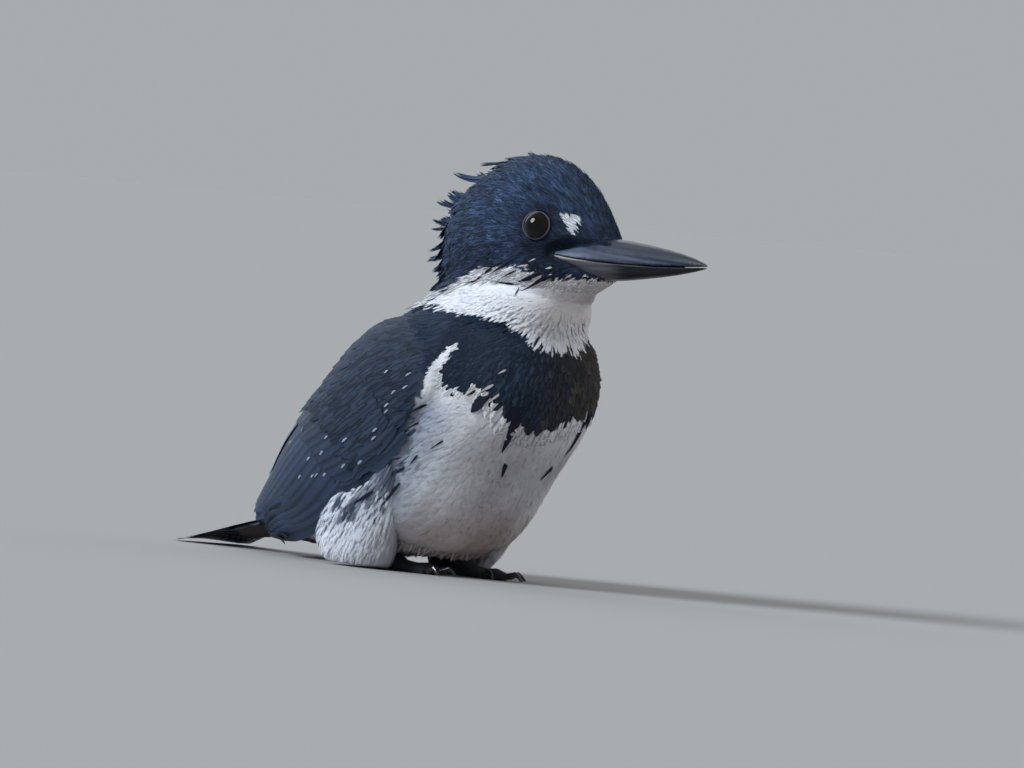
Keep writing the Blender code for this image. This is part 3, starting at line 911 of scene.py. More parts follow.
for x, y, z, reach in crest_tips:
    tip = np.array((x, y, z)) * mm
    count = 7 + reach // 3
    back = unit(CREST_HEART - tip)
    along_head = unit(lie_along(np.array([(1.0, 0, 0.8)]), -back[None]))[0]
    spot = tip + (along_head * 0.85 + back * 0.3) * reach * mm
    spread = chance.normal(0, 1, (count, 3)) * (0.045 * reach * mm)
    foot, _ = nearest(skin_tree, spot + spread)
    roots.append(foot)
    loose = tip + chance.normal(0, 0.35, (count, 3)) * mm
    tips.append(loose + (foot - tip) * chance.uniform(0, 0.3, (count, 1)) ** 1.5)
roots, tips = np.concatenate(roots), np.concatenate(tips)
_, normals = nearest(skin_tree, roots)
reach = np.linalg.norm(tips - roots, axis=1, keepdims=True)
middles = roots + lie_along(tips - roots, normals) * reach * 0.5 + normals * reach * 0.1
centres = []
for share in np.linspace(0, 1, CREST_FRAMES):
    place = roots * (1 - share) ** 2 + middles * 2 * share * (1 - share) + tips * share ** 2
    surface, outward = nearest(skin_tree, place)
    height = ((place - surface) * outward).sum(axis=1, keepdims=True)
    centres.append(place + outward * np.maximum(0.9 * share * mm - height, 0))
centres = np.stack(centres, 1)
heading = unit(np.gradient(centres, axis=1))
outs = lie_along((centres - CREST_HEART).reshape(-1, 3), heading.reshape(-1, 3)).reshape(centres.shape)


def lance(chance, rows=9, widest=0.3, arch=0.5, point=0.75):
    """A long narrow vane drawn out to a hair-like point."""
    points = []
    for share in np.linspace(0, 1, rows + 1):
        half = min(0.35 + 0.65 * share / widest, 1) * (1 - share) ** point + 0.06
        half *= chance.uniform(0.88, 1.1)
        points += [(-half, share, -arch * half), (0, share, 0), (half, share, -arch * half)]
    return np.array(points), grid_faces(rows, 2)


tints = shades(CAP, len(roots), 0.7, 1.7, chance)
widths = chance.uniform(0.6, 1.15, len(roots)) * mm
crest = feathers("crest", (centres, sides_of(centres, outs), outs), widths,
                 vanes(lambda c: lance(c, widest=0.4, point=0.5), 6, chance), tints, 52, 0.5)
ride(crest, head_finish, "slate_feathers")
coat("crest_underlayer", lambda p: on_head(p) & (p[:, 0] < 46 * mm), lance, head_finish, "slate_feathers",
     53, size=1.35, gap=0.17, stout=0.085, rise=0.14, steer=0.1, soft=0.35, paint=head_colour)

# ---- The folded wings
# Coverts in rows, then the secondaries, lie like tiles over the primaries, which end at the wing's tip.
# Each vane is bent to the body's own curve. Places are mm along the trunk's mid-line and degrees round it.
WING_FRAMES = 9
BODY_REACH = 90 * mm
WING_HOLD = 5       # degrees above the wing's lower edge from where it hangs free of the body
WING_SPLAY = 0.12


def between(first, last, share):
    return np.array(first) + (np.array(last) - np.array(first)) * share


def on_body(along, around, side):
    """The body's surface and its outward direction at a place given along and round the trunk. Below the
    wing's edge the place leaves the body and goes straight down."""
    edge = follow(along, WING_EDGE) / mm - WING_HOLD
    turn = np.radians(np.minimum(around, edge))
    out = np.cos(turn)[:, None] * DORSAL + np.sin(turn)[:, None] * np.array((0, side, 0))
    down = -np.sin(turn)[:, None] * DORSAL + np.cos(turn)[:, None] * np.array((0, side, 0))
    axis = VENT + SPINE * (along * mm)[:, None]
    points, normals = [], []
    for start_at, way in zip(axis + out * BODY_REACH, -out):
        hit, normal, _, _ = skin_tree.ray_cast(start_at, way)
        if hit is None:
            hit, normal, _, _ = skin_tree.find_nearest(start_at)
        points.append(hit)
        normals.append(normal)
    points = np.array(points)
    hang = np.radians(np.maximum(around - edge, 0)) * np.linalg.norm(points - axis, axis=1)
    return points + (down + out * WING_SPLAY) * hang[:, None], np.array(normals)


def vanes_on_wing(roots, tips, side, root_lift, tip_lift, bow=0.0):
    """Frames of large feathers from their roots to their tips, each place given as (along, around)."""
    centres, outs = [], []
    for k in range(WING_FRAMES):
        share = k / (WING_FRAMES - 1)
        place = roots + (tips - roots) * share
        around = place[:, 1] + bow * 4 * share * (1 - share)
        points, normals = on_body(place[:, 0], around, side)
        centres.append(points + normals * (root_lift + (tip_lift - root_lift) * share) * mm)
        outs.append(normals)
    centres, outs = np.stack(centres, 1), np.stack(outs, 1)
    return centres, sides_of(centres, outs), outs


wing_finish = plumage_finish("wing feathers", 0.4, 0.55, 0.55, 0.18)
WING_SLATE = np.array((0.022, 0.034, 0.060))
VANE_SLATE = WING_SLATE * (1.0, 1.05, 1.12)
QUILL = np.array((0.012, 0.016, 0.024))
# Piece, seed and rows, undermost first. Each row: how many feathers, first and last root, first and last
# tip (along, round), half width, heights at root and tip, bow and colour.
WING_ROWS = (
    ("flight_feathers", 60, (
        (9, (112, 124), (104, 104), (-1, 127), (22, 108), 4.0, (0.2, 0.6), 14, QUILL),
        (20, (98, 129), (84, 34), (12, 136), (16, 42), 3.8, (0.4, 1.2), 5, VANE_SLATE * 1.25),
        (6, (92, 62), (84, 32), (28, 76), (22, 32), 5.6, (1.0, 1.6), 2, VANE_SLATE))),
    ("wing_coverts", 65, (
        (20, (110, 130), (84, 36), (84, 130), (46, 38), 3.3, (0.8, 1.7), 2, VANE_SLATE),
        (20, (120, 129), (100, 38), (98, 129), (62, 36), 3.1, (1.0, 1.9), 1, VANE_SLATE))),
)
for wing, side in SIDES:
    for name, seed, rows in WING_ROWS:
        chance = np.random.default_rng(seed)
        parts, widths, tints = [], [], []
        for count, root0, root1, tip0, tip1, half, lifts, bow, colour in rows:
            share = np.linspace(0, 1, count)[:, None]
            roots, tips = between(root0, root1, share), between(tip0, tip1, share)
            roots = roots + chance.normal(0, 0.6, roots.shape)
            tips = tips + chance.normal(0, 0.9, tips.shape)
            parts.append(vanes_on_wing(roots, tips, side, *lifts, bow))
            widths.append(np.full(count, half * mm))
            tints.append(shades(colour, count, 0.9, 1.12, chance))
            chance.uniform(size=count)    # not used: it keeps the draws after it in their order
        frames = [np.concatenate(level) for level in zip(*parts)]
        shapes = vanes(lambda c: firm_vane(c, 0.82, 18, 6, 0.16, 0.014), 5, chance)
        made = feathers(f"{name}_{wing}", frames, np.concatenate(widths), shapes, np.concatenate(tints), seed,
                        0.55, large=True)
        ride(made, wing_finish, "slate_feathers")

# The small coverts and the scapulars lie over the rows' roots, the scapulars far back along the spine
SCAPULARS_END = ((0, 40), (34, 46), (55, 66), (80, 86), (100, 97), (140, 106))


def wing_colour(points, draw):
    return WING_SLATE * draw.choice((0.75, 0.95, 1.1, 1.3), (len(points), 1))


def over_rows(points):
    """Where small feathers cover the wing, before the rows' own tips show."""
    start_at = follow(round_spine(points), SCAPULARS_END) / mm
    near = off(wing_tree, points) <= WING_CLEAR + 0.4 * mm
    return near & (along_spine(points) / mm > start_at) & ~on_head(points) & ~is_white(points)


def row_height(points):
    return ease(132, 100, along_spine(points) / mm) * 1.5 * mm


for side, sign in SIDES:
    coat(f"wing_small_feathers_{side}", lambda p: over_rows(p) & (p[:, 1] * sign > 0), firm_vane, back_finish,
         "slate_feathers", 45, size=1.1, gap=0.18, stout=0.17, rise=0.07, soft=0.7, base_lift=row_height,
         paint=wing_colour)

# ---- The tail
# Twelve long feathers, the middle pair on top, with small white spots along their edges. Coverts lie
# over their roots above and below.
TAIL_FEATHERS = 12
TAIL_LINE = np.array(((-93, 10.9), (-103, 8.3), (-114, 5.2), (-124, 2.7), (-130.5, 1.2), (-134, 0.7))) * mm
TAIL_ROOT_SIDE, TAIL_TIP_SIDE, TAIL_REST = 6.5 * mm, 13.4 * mm, 0.35 * mm
TAIL_SLATE = np.array((0.038, 0.044, 0.060))
tail_low, tail_high = low_high("tail")
root_x = tail_high[0] + 2 * mm
place = np.linspace(-1, 1, TAIL_FEATHERS)
chance = np.random.default_rng(80)
centres, outs = [], []
for share in np.linspace(0, 1, WING_FRAMES):
    x = root_x - (root_x - tail_low[0]) * (1 - 0.05 * place ** 2) * share
    y = place * (TAIL_ROOT_SIDE + (TAIL_TIP_SIDE - TAIL_ROOT_SIDE) * share)
    stack = (1 - np.abs(place)) * 0.9 * mm * (1 - 0.5 * share) - (y / (17 * mm)) ** 2 * 0.7 * mm * share
    z = np.interp(-x, -TAIL_LINE[:, 0], TAIL_LINE[:, 1]) + stack
    centres.append(np.stack([x, y, np.maximum(z, TAIL_REST)], axis=1))
    outs.append(np.stack([np.full_like(y, 0.28), y * 9, np.ones_like(y)], axis=1))
centres, outs = np.stack(centres, 1), unit(np.stack(outs, 1))
shapes = vanes(lambda c: firm_vane(c, 0.9, 24, 6, 0.06, 0.01), 4, chance)
spotted = np.where(np.abs(place) < 0.15, 0, 1)    # all but the middle pair
tail = feathers("tail_feathers", (centres, sides_of(centres, outs), outs), np.full(TAIL_FEATHERS, 3.5 * mm),
                shapes, shades(TAIL_SLATE, TAIL_FEATHERS, 0.9, 1.1, chance), 81, 0.5, spotted, large=True)
ride(tail, plumage_finish("tail feathers", 0.35, 0.1, 0.55), "slate_feathers", "tail")

# Coverts: name, how many, root height and spread, tip height, length, colour, finish, slot, and way up
COVERT_ROOT_X, COVERT_ROOTS = -84 * mm, 9
TAIL_COVERTS = (
    ("tail_coverts_over", 60, 13.6, 8.0, 8.4, 17, SLATE, back_finish, "slate_feathers", 1),
    # The under coverts' dark brown is painted shade under the tail.
    ("tail_coverts_under", 90, 6.0, 8.0, 3.6, 15, BELLY_SHADE * 0.13, white_finish, "white_feathers", -1),
)
for name, count, root_z, spread, tip_z, length, colour, finish, slot, up in TAIL_COVERTS:
    chance = np.random.default_rng(83)
    y = chance.uniform(-1, 1, count) * spread * mm
    bend = (y / (spread * mm)) ** 2
    start_x = COVERT_ROOT_X - chance.uniform(0, COVERT_ROOTS, count) * mm
    rear_x = start_x - length * chance.uniform(0.75, 1.05, count) * mm
    centres = []
    for share in np.linspace(0, 1, FRAMES):
        x = start_x + (rear_x - start_x) * share
        drop = (root_z + (tip_z - root_z) * (COVERT_ROOT_X - x) / ((COVERT_ROOTS + length) * mm)) * mm
        centres.append(np.stack([x, y * (1 + 0.1 * share), drop - up * bend * 2.4 * mm], axis=1))
    centres = np.stack(centres, 1)
    outs = np.stack([np.full(count, 0.25), y * 60, np.full(count, up)], 1)
    outs = unit(np.repeat(outs[:, None], FRAMES, 1))
    shapes = vanes(firm_vane if up > 0 else silky_lock, 6, chance)
    made = feathers(name, (centres, sides_of(centres, outs), outs), np.full(count, 2.0 * mm), shapes,
                    shades(colour, count, 0.85, 1.1, chance), 84, large=True)
    ride(made, finish, slot)

# ---- The eyes
# Each is a smooth wet ball, near black with a dark brown iris. A thin bare lid rings the opening.
EYEBALL_RADIUS = 5.85 * mm
LOOK = unit(np.array((0.40, 0.90, 0.12)))    # the left eye's way out of the head
LID_RING, LID_THICK = 4.85 * mm, 0.3 * mm
EYE_BLACK, IRIS_BROWN = np.array((0.001, 0.001, 0.0012)), np.array((0.004, 0.002, 0.001))
LID_POINTS, LID_BEAD = 56, 8    # points round the opening, and round the lid's own section
eye_finish, inputs, start = new_finish("wet eye", 0.3, Specular_IOR_Level=0.0, Coat_Weight=1.0,
                                       Coat_Roughness=0.03, Coat_IOR=1.33)
feed(start.tint(), inputs["Base Color"])
lid_finish, inputs, start = new_finish("bare eyelid", 0.5)
inputs["Base Color"].default_value = (0.035, 0.042, 0.055, 1)
bump(start, start.noise(2500.0), 0.06 * mm, inputs)
for side, sign in SIDES:
    look = LOOK * (1, sign, 1)
    middle = EYE * (1, sign, 1)
    turned = Vector(look).to_track_quat("Z", "Y").to_matrix().to_4x4()
    ball = bmesh.new()
    bmesh.ops.create_uvsphere(ball, u_segments=56, v_segments=40, radius=EYEBALL_RADIUS,
                              matrix=Matrix.Translation(middle) @ turned)
    mesh = bpy.data.meshes.new(f"eyeball_{side}")
    ball.to_mesh(mesh)
    ball.free()
    mesh.shade_smooth()
    off_look = np.degrees(np.arccos(np.clip(unit(points_of(mesh) - middle) @ look, -1, 1)))[:, None]
    iris = ease(26, 29, off_look) * ease(50, 44, off_look)
    paint_points(mesh, EYE_BLACK + iris * IRIS_BROWN)
    ride(link(f"eyeball_{side}", mesh), eye_finish, "eye_gloss", f"eye_{side}")
    level = math.sqrt(EYEBALL_RADIUS ** 2 - LID_RING ** 2)
    ring, quads = [], []
    for k in range(LID_POINTS):
        turn = 2 * math.pi * k / LID_POINTS
        reach = LID_RING * (1 + 0.035 * math.cos(2 * turn))
        here, ahead = LID_BEAD * k, LID_BEAD * ((k + 1) % LID_POINTS)
        for j in range(LID_BEAD):
            bead = 2 * math.pi * j / LID_BEAD
            out = reach + LID_THICK * math.cos(bead) * 1.3
            high = level + LID_THICK * math.sin(bead)
            ring.append((math.cos(turn) * out, math.sin(turn) * out * 0.97, high))
            beside = (j + 1) % LID_BEAD
            quads.append((here + j, ahead + j, ahead + beside, here + beside))
    spin = np.array(turned.to_3x3())
    lid = mesh_of(f"eyelid_{side}", np.array(ring) @ spin.T + middle, np.array(quads))
    ride(link(f"eyelid_{side}", lid), lid_finish, "foot_skin")

# ---- The bill
# Two hollow horn sheaths, one over each jaw, meet in a long straight mouth line. The horn is smooth, with
# shallow lengthwise grooves, a slit nostril, and a paler worn root.


def refined(name, nodes, grain, rounds):
    """The plain shape with fine even faces and its facets smoothed away."""
    piece = joined(name, nodes)
    close_up(piece, grain)
    soften(piece, rounds)
    piece.data.shade_smooth()
    return piece


GAPE_X, BILL_TIP_X, MOUTH_Z = bill_low[0], bill_high[0], bill_low[2] + 0.2 * mm
HORN = np.array((0.012, 0.019, 0.040))
HORN_PALE = np.array((0.105, 0.130, 0.19))
HORN_DARK = np.array((0.016, 0.018, 0.026))
HORN_BLACK = np.array((0.004, 0.005, 0.007))
JAW_BROWN = np.array((0.062, 0.058, 0.068))
MOUTH_CREAM = np.array((0.42, 0.38, 0.34))
NOSTRIL_X, NOSTRIL_Z = 84.1 * mm, 119.1 * mm


def off_nostril(x, z, reach, half):
    """1 at the edge of a slit of the given half length and half height, and less within it."""
    ahead = x - NOSTRIL_X
    return (ahead / (reach * mm)) ** 2 + ((z - NOSTRIL_Z + ahead * 0.12) / (half * mm)) ** 2


def bill_colour(points, upper):
    x, z = points[:, 0], points[:, 2]
    along = (x - GAPE_X) / (BILL_TIP_X - GAPE_X)
    rise = (z - MOUTH_Z) / ((8 if upper else -7) * mm) / np.maximum(1 - along * 0.8, 0.15)
    # On the upper jaw these pale streaks are painted highlight. On the lower jaw they are the horn's own
    # streaks.
    streaks = np.sin(rise * 17 + wander(points * (0.08, 1, 1), 1.6 * mm, 31) * 2.2) * 0.5 + 0.5
    if not upper:
        colour = blend(np.tile(JAW_BROWN, (len(x), 1)), HORN_BLACK, ease(0.36, 0.5, along + 0.05 * streaks))
        colour = blend(colour, HORN_PALE, streaks * ease(0.4, 0.1, along) * 0.25)
        lip = ease(0.7 * mm, 0.2 * mm, MOUTH_Z - z) * ease(0.62, 0.4, along)
        return blend(colour, MOUTH_CREAM, lip * 0.85)
    colour = blend(np.tile(HORN, (len(x), 1)), HORN_DARK, ease(0.62, 1.0, rise) * 0.5)
    # Painted highlight: pale lengthwise streaks on the upper jaw.
    colour = blend(colour, HORN_PALE, streaks * ease(1.0, 0.15, along) * 0.32 * ease(1.0, 0.6, rise))
    root = ease(0.30, 0.06, along) * ease(0.78, 0.45, rise) * ease(0.0, 0.1, rise)
    colour = blend(colour, HORN_PALE, root)
    colour = blend(colour, HORN_DARK, ease(0.75, 1.0, along) * 0.6)
    return blend(colour, HORN_BLACK, ease(1.3, 0.7, off_nostril(x, z, 2.9, 0.5)))


horn_finish, inputs, start = new_finish("bill horn", 0.34, Specular_IOR_Level=0.22)
where = start.node("ShaderNodeTexCoord", None, None, 3)
lengthwise = start.node("ShaderNodeVectorMath", {"operation": "MULTIPLY"}, {0: where, 1: (90, 1100, 1100)})
fibres = start.noise(1.0, 3.0, Vector=lengthwise)
feed(start.tint().shade(fibres * 0.6 + 0.7), inputs["Base Color"])
feed(fibres * 0.25 + 0.24, inputs["Roughness"])
bump(start, fibres, 0.09 * mm, inputs)
for node, upper in (("bill_upper", True), ("bill_lower", False)):
    piece = refined(f"{node}_horn", (node,), 0.32 * mm, 14)
    points, normals = points_of(piece.data), triples(piece.data.vertex_normals, "vector")
    x, y, z = points.T
    along = (x - GAPE_X) / (BILL_TIP_X - GAPE_X)
    middle = MOUTH_Z + (3.4 if upper else -3.0) * (1 - along * 0.72) * mm
    groove = np.exp(-((z - middle) / (0.7 * mm)) ** 2) * ease(0.12, 0.3, along) * ease(0.92, 0.6, along)
    pit = ease(1.4, 0.3, off_nostril(x, z, 3.0, 0.7)) * upper
    move_points(piece.data, points - normals * (groove * 0.22 + pit * 0.45)[:, None] * mm)
    paint_points(piece.data, bill_colour(points, upper))
    ride(piece, horn_finish, "bill_horn", node)

# ---- The feet
# Short legs and long toes in grey scaly skin, flattened where they bear on the floor, with glossy black
# claws. The two outer front toes lie side by side.
skin_scales, inputs, start = new_finish("scaly skin", 0.5)
scale = start.node("ShaderNodeTexVoronoi", {"feature": "DISTANCE_TO_EDGE"}, {"Scale": 900.0})
rough = start.noise(1500.0, 3.0)
raised = scale.step(0.0, 0.25)
grey = (raised * (rough * 0.5 + 0.5)).mix((0.014, 0.016, 0.021, 1), (0.085, 0.098, 0.125, 1))
feed(grey, inputs["Base Color"])
bump(start, raised + rough * 0.3, 0.16 * mm, inputs)
claw_finish, inputs, start = new_finish("claw horn", 0.2, Coat_Weight=0.4, Coat_Roughness=0.1)
feed(start.noise(600.0, 3.0).mix((0.006, 0.006, 0.008, 1), (0.020, 0.019, 0.020, 1)), inputs["Base Color"])
TOES = ("inner", "middle", "outer", "hind")
for side, _ in SIDES:
    ride(refined(f"foot_{side}", (f"leg_{side}",), 0.4 * mm, 6), skin_scales, "foot_skin", f"leg_{side}")
    claws = tuple(f"claw_{toe}_{side}" for toe in TOES)
    ride(refined(f"claws_{side}", claws, 0.16 * mm, 5), claw_finish, "claw_horn", *claws)

# ---- The belly's fringe
# Loose white feathers of the belly hang round the legs and hide their bare upper part.
FRINGE_MIDDLE, FRINGE_REACH, FRINGE_TOP = np.array((-4, 0)) * mm, np.array((22, 21)) * mm, 15 * mm
FRINGE_SHORT, FRINGE_LENGTH, FRINGE_FOOT = 2.5 * mm, 10 * mm, 2.6 * mm
chance = np.random.default_rng(92)
for side, sign in SIDES:
    def by_leg(points):
        out = (points[:, :2] - FRINGE_MIDDLE) / FRINGE_REACH
        return ((out ** 2).sum(axis=1) < 1) & (points[:, 2] < FRINGE_TOP) & (points[:, 1] * sign > -1 * mm)

    roots, normals = roots_on(skin.data, by_leg, lambda p: np.full(len(p), 0.75 * mm), 91)
    reach = (roots[:, 2] - FRINGE_FOOT) * chance.uniform(0.25, 0.8, len(roots))
    reach = np.clip(reach, FRINGE_SHORT, FRINGE_LENGTH)
    way = lie_along(np.array([(-1.0, 0, -0.5)]), normals) * 0.8 + np.array((0, 0, -0.5))
    way = unit(way + chance.normal(0, 0.14, roots.shape))
    centres = np.stack([roots + way * reach[:, None] * share for share in np.linspace(0, 1, FRAMES)], 1)
    away = np.concatenate([roots[:, :2] - FRINGE_MIDDLE, np.zeros((len(roots), 1))], axis=1)
    outs = np.repeat(lie_along(unit(away) * 0.5 + normals, way)[:, None], FRAMES, 1)
    # The fringe takes the plumage's colour a fifth darker: painted shade under the belly.
    made = feathers(f"belly_fringe_{side}", (centres, unit(np.cross(way[:, None], outs)), outs),
                    reach * 0.05 + 0.12 * mm, vanes(silky_lock, 6, chance),
                    plumage_colour(roots, chance) * 0.8, 93, 0.97)
    ride(made, white_finish, "white_feathers")

# ---- The thigh tufts
# The long flank feathers make a full white tuft over each thigh, down to the floor. They are laid on a
# pear-shaped form, which isn't shown itself.
TUFT_TOP, TUFT_FOOT = np.array((15, -33.5, 38)) * mm, np.array((-25.5, -21.5, 2.4)) * mm
TUFT_GIRTH = ((0, 1.5), (0.22, 5.5), (0.39, 9), (0.58, 11.5), (0.75, 12.2), (0.9, 11.4), (0.98, 8.5), (1, 3))
TUFT_LOW, TUFT_REST = 1.6 * mm, 0.9 * mm
tuft_axis = unit(TUFT_FOOT - TUFT_TOP)
tuft_out = unit(lie_along(np.array([(0.25, -1.0, -0.25)]), tuft_axis[None]))[0]
tuft_wide = np.cross(tuft_axis, tuft_out)
share, turn = np.meshgrid(np.linspace(0, 1, 26), np.linspace(0, 2 * math.pi, 37), indexing="ij")
girth = follow(share, TUFT_GIRTH)[..., None]
form = TUFT_TOP + (TUFT_FOOT - TUFT_TOP) * share[..., None]
spread = np.where(np.sin(turn) > 0, 1.08, 1.55)[..., None]
ring = np.cos(turn)[..., None] * tuft_out * 0.72 + np.sin(turn)[..., None] * tuft_wide * spread
form = form + ring * girth
form[..., 2] = np.maximum(form[..., 2], TUFT_LOW)
tuft_quads = grid_faces(share.shape[0] - 1, share.shape[1] - 1)


def tuft_colour(points, draw):
    """White, greyed and blotched with slate where the tuft comes from under the wing, and darkened beside the
    belly with the belly's painted shade. The grey by the wing is partly painted shade."""
    mirrored = on_one_side(points, -1)
    share = (mirrored - TUFT_TOP) @ tuft_axis / np.linalg.norm(TUFT_FOOT - TUFT_TOP)
    wingward = (mirrored - TUFT_TOP) @ tuft_wide / mm
    colour = WHITE * (1.0, 1.02, 1.06) * draw.uniform(1.02, 1.14, (len(points), 1))
    # Painted shade: beside the belly the tuft takes the belly's shaded white.
    colour = blend(colour, SHADED_BELLY_WHITE, ease(-3, -12, wingward) * 0.85)
    white_from = 0.31 + (wingward + 5.6) * 0.030
    greyed = ease(white_from + 0.03, white_from - 0.1, share)
    # Near the wing, the flank's grey: partly its own mottling, partly painted shade.
    colour = blend(colour, FLANK_GREY, greyed * 0.45)
    blotched = greyed * ease(-0.45, 0.05, wander(points, 4.2 * mm, 77))
    dark = draw.uniform(size=len(points)) < blotched * 0.85
    colour[dark] = blend(colour[dark], SLATE * 1.5, draw.uniform(0.5, 1, dark.sum()))
    return colour


for side, sign in (("right", 1), ("left", -1)):
    chance = np.random.default_rng(96)
    quads = tuft_quads if sign > 0 else tuft_quads[:, ::-1]
    mesh = mesh_of("tuft form", form.reshape(-1, 3) * (1, sign, 1), quads)

    def outside(points):
        surface, outward = nearest(skin_tree, points)
        return ((points - surface) * outward).sum(axis=1) > -1.2 * mm

    roots, normals = roots_on(mesh, outside, lambda p: np.full(len(p), 0.7 * mm), 95)
    reach = chance.uniform(6, 11, len(roots)) * mm
    way = tuft_axis * (1, sign, 1) + np.array((0, 0, -0.25)) + chance.normal(0, 0.07, roots.shape)
    rise = reach * chance.uniform(0, 0.09, len(roots))
    centres, sides, outs = fit_to(tree_of(mesh), roots, way, reach, 0.05 * reach, rise)
    centres[..., 2] = np.maximum(centres[..., 2], TUFT_REST)
    wingward = (centres * (1, sign, 1) - TUFT_TOP) @ tuft_wide / mm
    flatter = 0.75 * ease(5, -9, wingward)[..., None]    # beside the belly, shaded as one even sheet
    outs = unit(outs * (1 - flatter) + tuft_out * (1, sign, 1) * flatter)
    made = feathers(f"flank_tuft_{side}", (centres, sides, outs), reach * 0.04 + 0.2 * mm,
                    vanes(silky_lock, 8, chance), tuft_colour(roots, chance), 97, 0.98)
    ride(made, white_finish, "white_feathers")


# ---- The flank's streaks
# Single hair-like grey feathers mottle the white flank beside the folded wing's lower edge.


def streaked(points):
    """Where hair-like grey streaks mottle the flank beside the wing's edge."""
    gap, along = below_wing(points), along_spine(points) / mm
    share = ease(17, 3, gap) * ease(50, 62, along) * ease(131, 117, along) * (gap > -1)
    return share * (0.35 + 0.65 * ease(-0.5, 0.5, wander(points, 4 * mm, 21)))


def streak_colour(points, draw):
    return SLATE * draw.uniform(1.0, 3.2, (len(points), 1))


coat("flank_streaks", lambda p: streaked(p) > 0.45, lance, back_finish, "slate_feathers", 98, size=0.75,
     gap=0.26, stout=0.035, rise=0.05, steer=0.12, soft=0.8, base_lift=lambda p: np.full(len(p), 0.55 * mm),
     paint=streak_colour)

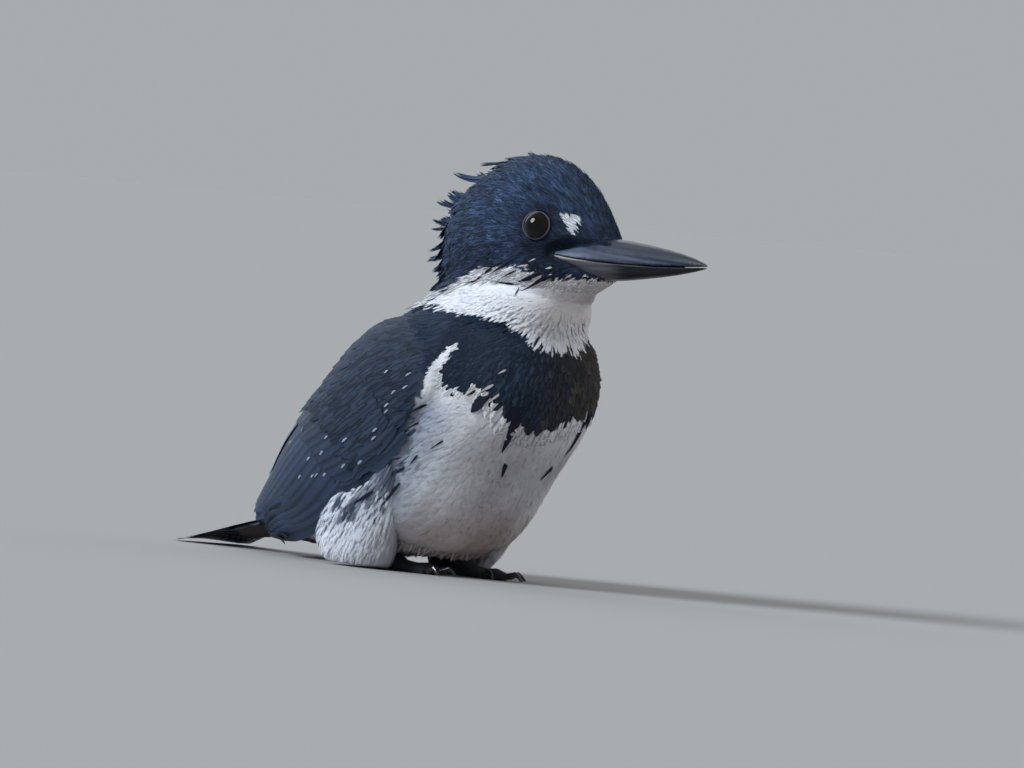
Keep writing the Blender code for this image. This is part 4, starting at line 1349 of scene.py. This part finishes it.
# ---- The odd feathers
# Single feathers lie over the coat: dark wisps below the cheek, a spot and streaks on the breast and
# flank, pale ones beside the gape, and the small white tips that dot the wing's coverts.
ODD_FEATHERS = (    # name, colour, whether pointed, and each one's root, tip and half width in mm
    ("dark_wisps", (0.010, 0.013, 0.020), True, (
        (50.5, -14.3, 101.9, 38.6, -15.7, 102.4, 0.5), (58.1, -13.8, 105.0, 50.5, -14.9, 102.6, 1.0),
        (51.8, -13.8, 101.6, 51.2, -14.3, 97.6, 0.4), (63.1, -12.5, 105.6, 52.4, -12.8, 100.1, 0.75),
        (66.7, -11.4, 106.6, 58.0, -12.6, 102.6, 0.6), (50.4, -16.3, 106.6, 42.5, -16.3, 103.4, 0.4),
        (47.9, -17.5, 109.3, 37.9, -17.0, 104.9, 0.55), (45.0, -17.7, 109.1, 36.0, -17.3, 105.6, 0.55),
        (40.0, -17.7, 107.1, 31.0, -17.3, 103.2, 0.5), (33.0, -17.7, 104.1, 25.0, -17.3, 101.2, 0.5),
        (72.1, -10.4, 107.6, 68.0, -10.8, 105.6, 0.6), (78.6, -7.6, 107.0, 76.2, -7.7, 105.3, 0.5),
        (81.6, -5.4, 106.1, 82.6, -3.6, 104.6, 0.5), (61.0, -13.2, 106.5, 54.0, -14.2, 104.5, 0.8))),
    ("dark_streaks", (0.016, 0.019, 0.032), True, (
        (61.0, -15.0, 61.5, 51.0, -14.2, 43.9, 2.1), (60.4, -16.0, 61.0, 56.6, -18.0, 54.6, 2.2),
        (49.6, -10.7, 40.9, 45.5, -8.5, 35.0, 1.1), (49.2, -26.9, 65.1, 45.6, -28.4, 62.8, 0.6),
        (31.7, -33.0, 58.7, 24.6, -36.5, 54.4, 0.55), (27.2, -33.3, 52.1, 22.9, -34.0, 49.8, 0.45),
        (25.8, -31.4, 41.1, 21.7, -31.9, 36.7, 0.5), (36.3, -28.6, 46.9, 30.0, -30.1, 42.9, 0.4),
        (7.7, -33.3, 27.5, -1.9, -33.2, 23.0, 0.9), (17.3, -31.6, 30.5, 8.7, -31.6, 21.8, 0.9),
        (19.8, -32.3, 36.0, 15.0, -33.0, 33.5, 0.7), (53.0, -24.8, 63.1, 49.2, -26.6, 59.0, 1.0))),
    ("breast_spot", (0.015, 0.019, 0.032), False, ((52.4, -24.8, 64.3, 47.2, -26.9, 57.2, 1.9),)),
    ("pale_wisps", (0.50, 0.48, 0.47), True, (
        (65.9, -12.9, 108.9, 63.2, -13.5, 108.2, 0.45), (54.6, -16.1, 108.7, 51.3, -16.6, 108.0, 0.3),
        (59.6, -15.6, 111.3, 56.8, -15.9, 110.1, 0.3), (57.4, -21.1, 73.3, 55.4, -22.9, 71.5, 0.4),
        (54.4, -24.0, 67.6, 50.5, -26.4, 64.6, 0.6),
        (56.4, -21.5, 65.0, 52.6, -24.6, 60.6, 0.5))),
    ("wing_spots", (0.30, 0.345, 0.42), False, tuple(
        (x, y, z, x - 1.9, y, z - 1.5, half * 0.72) for x, y, z, half in (
            (13.7, -38.7, 69.4, 0.5), (24.7, -37.6, 69.2, 0.4), (23.9, -38.2, 64.6, 0.5),
            (18.9, -38.8, 62.5, 0.5), (16.1, -39.2, 57.8, 0.55), (16.4, -39.2, 55.6, 0.45),
            (11.8, -39.2, 48.8, 0.5), (11.1, -38.8, 46, 0.5), (-2.7, -40.1, 44.3, 0.55),
            (-14.5, -39.7, 44.5, 0.45), (-16.5, -39.7, 38.8, 0.6), (-27.1, -38.1, 36.1, 0.55),
            (4.8, -38.5, 37.3, 0.65), (-3.8, -39.5, 35.2, 0.6), (-17, -38.4, 31.2, 0.6),
            (-25, -37.3, 30.1, 0.55), (-34, -35.9, 29.2, 0.5), (-35, -35.4, 46.1, 0.35),
            (-45.7, -32.5, 41, 0.35), (-22, -38, 30.6, 0.4)))),
)
OUTER_COAT = ("collar_feathers", "belly_feathers", "head_feathers", "breast_band", "wing_small_feathers",
              "wing_coverts", "flight_feathers", "flank_tuft")
PROBE = 14 * mm
ODD_LIFT, ODD_TUCK = 0.3 * mm, 0.5 * mm
graph = bpy.context.evaluated_depsgraph_get()
coat_trees = [BVHTree.FromObject(piece, graph) for piece in bpy.data.objects
              if piece.name.startswith(OUTER_COAT)]


def over_coat(points, outward):
    """How high the coat's outermost feather stands above each place."""
    heights = []
    for begin, way in zip((points + outward * PROBE).tolist(), (-outward).tolist()):
        found = [tree.ray_cast(begin, way, PROBE)[3] for tree in coat_trees]
        heights.append(PROBE - min([far for far in found if far is not None], default=PROBE))
    return np.array(heights)


for name, colour, pointed, places in ODD_FEATHERS:
    chance = np.random.default_rng(99)
    places = np.array(places)
    roots = np.concatenate([places[:, :3], places[:, :3] * (1, -1, 1)]) * mm
    tips = np.concatenate([places[:, 3:6], places[:, 3:6] * (1, -1, 1)]) * mm
    line = roots[:, None] + (tips - roots)[:, None] * np.linspace(0, 1, FRAMES)[:, None]
    base, outs = nearest(skin_tree, line.reshape(-1, 3))
    heights = over_coat(base, outs).reshape(-1, FRAMES)
    heights = np.maximum(heights, heights.mean(axis=1, keepdims=True)) + ODD_LIFT
    heights[:, 0] -= ODD_TUCK
    centres = (base + outs * heights.reshape(-1, 1)).reshape(-1, FRAMES, 3)
    outs = outs.reshape(-1, FRAMES, 3)
    shape = (lambda c: lance(c, arch=0.05)) if pointed else (lambda c: firm_vane(c, 0.5, arch=0.05))
    shapes = vanes(shape, 5, chance)
    made = feathers(name, (centres, sides_of(centres, outs), outs), np.tile(places[:, 6], 2) * mm, shapes,
                    shades(colour, len(roots), 0.85, 1.15, chance), 99, 0.8, large=True)
    ride(made, white_finish, "white_feathers" if sum(colour) > 0.5 else "slate_feathers")
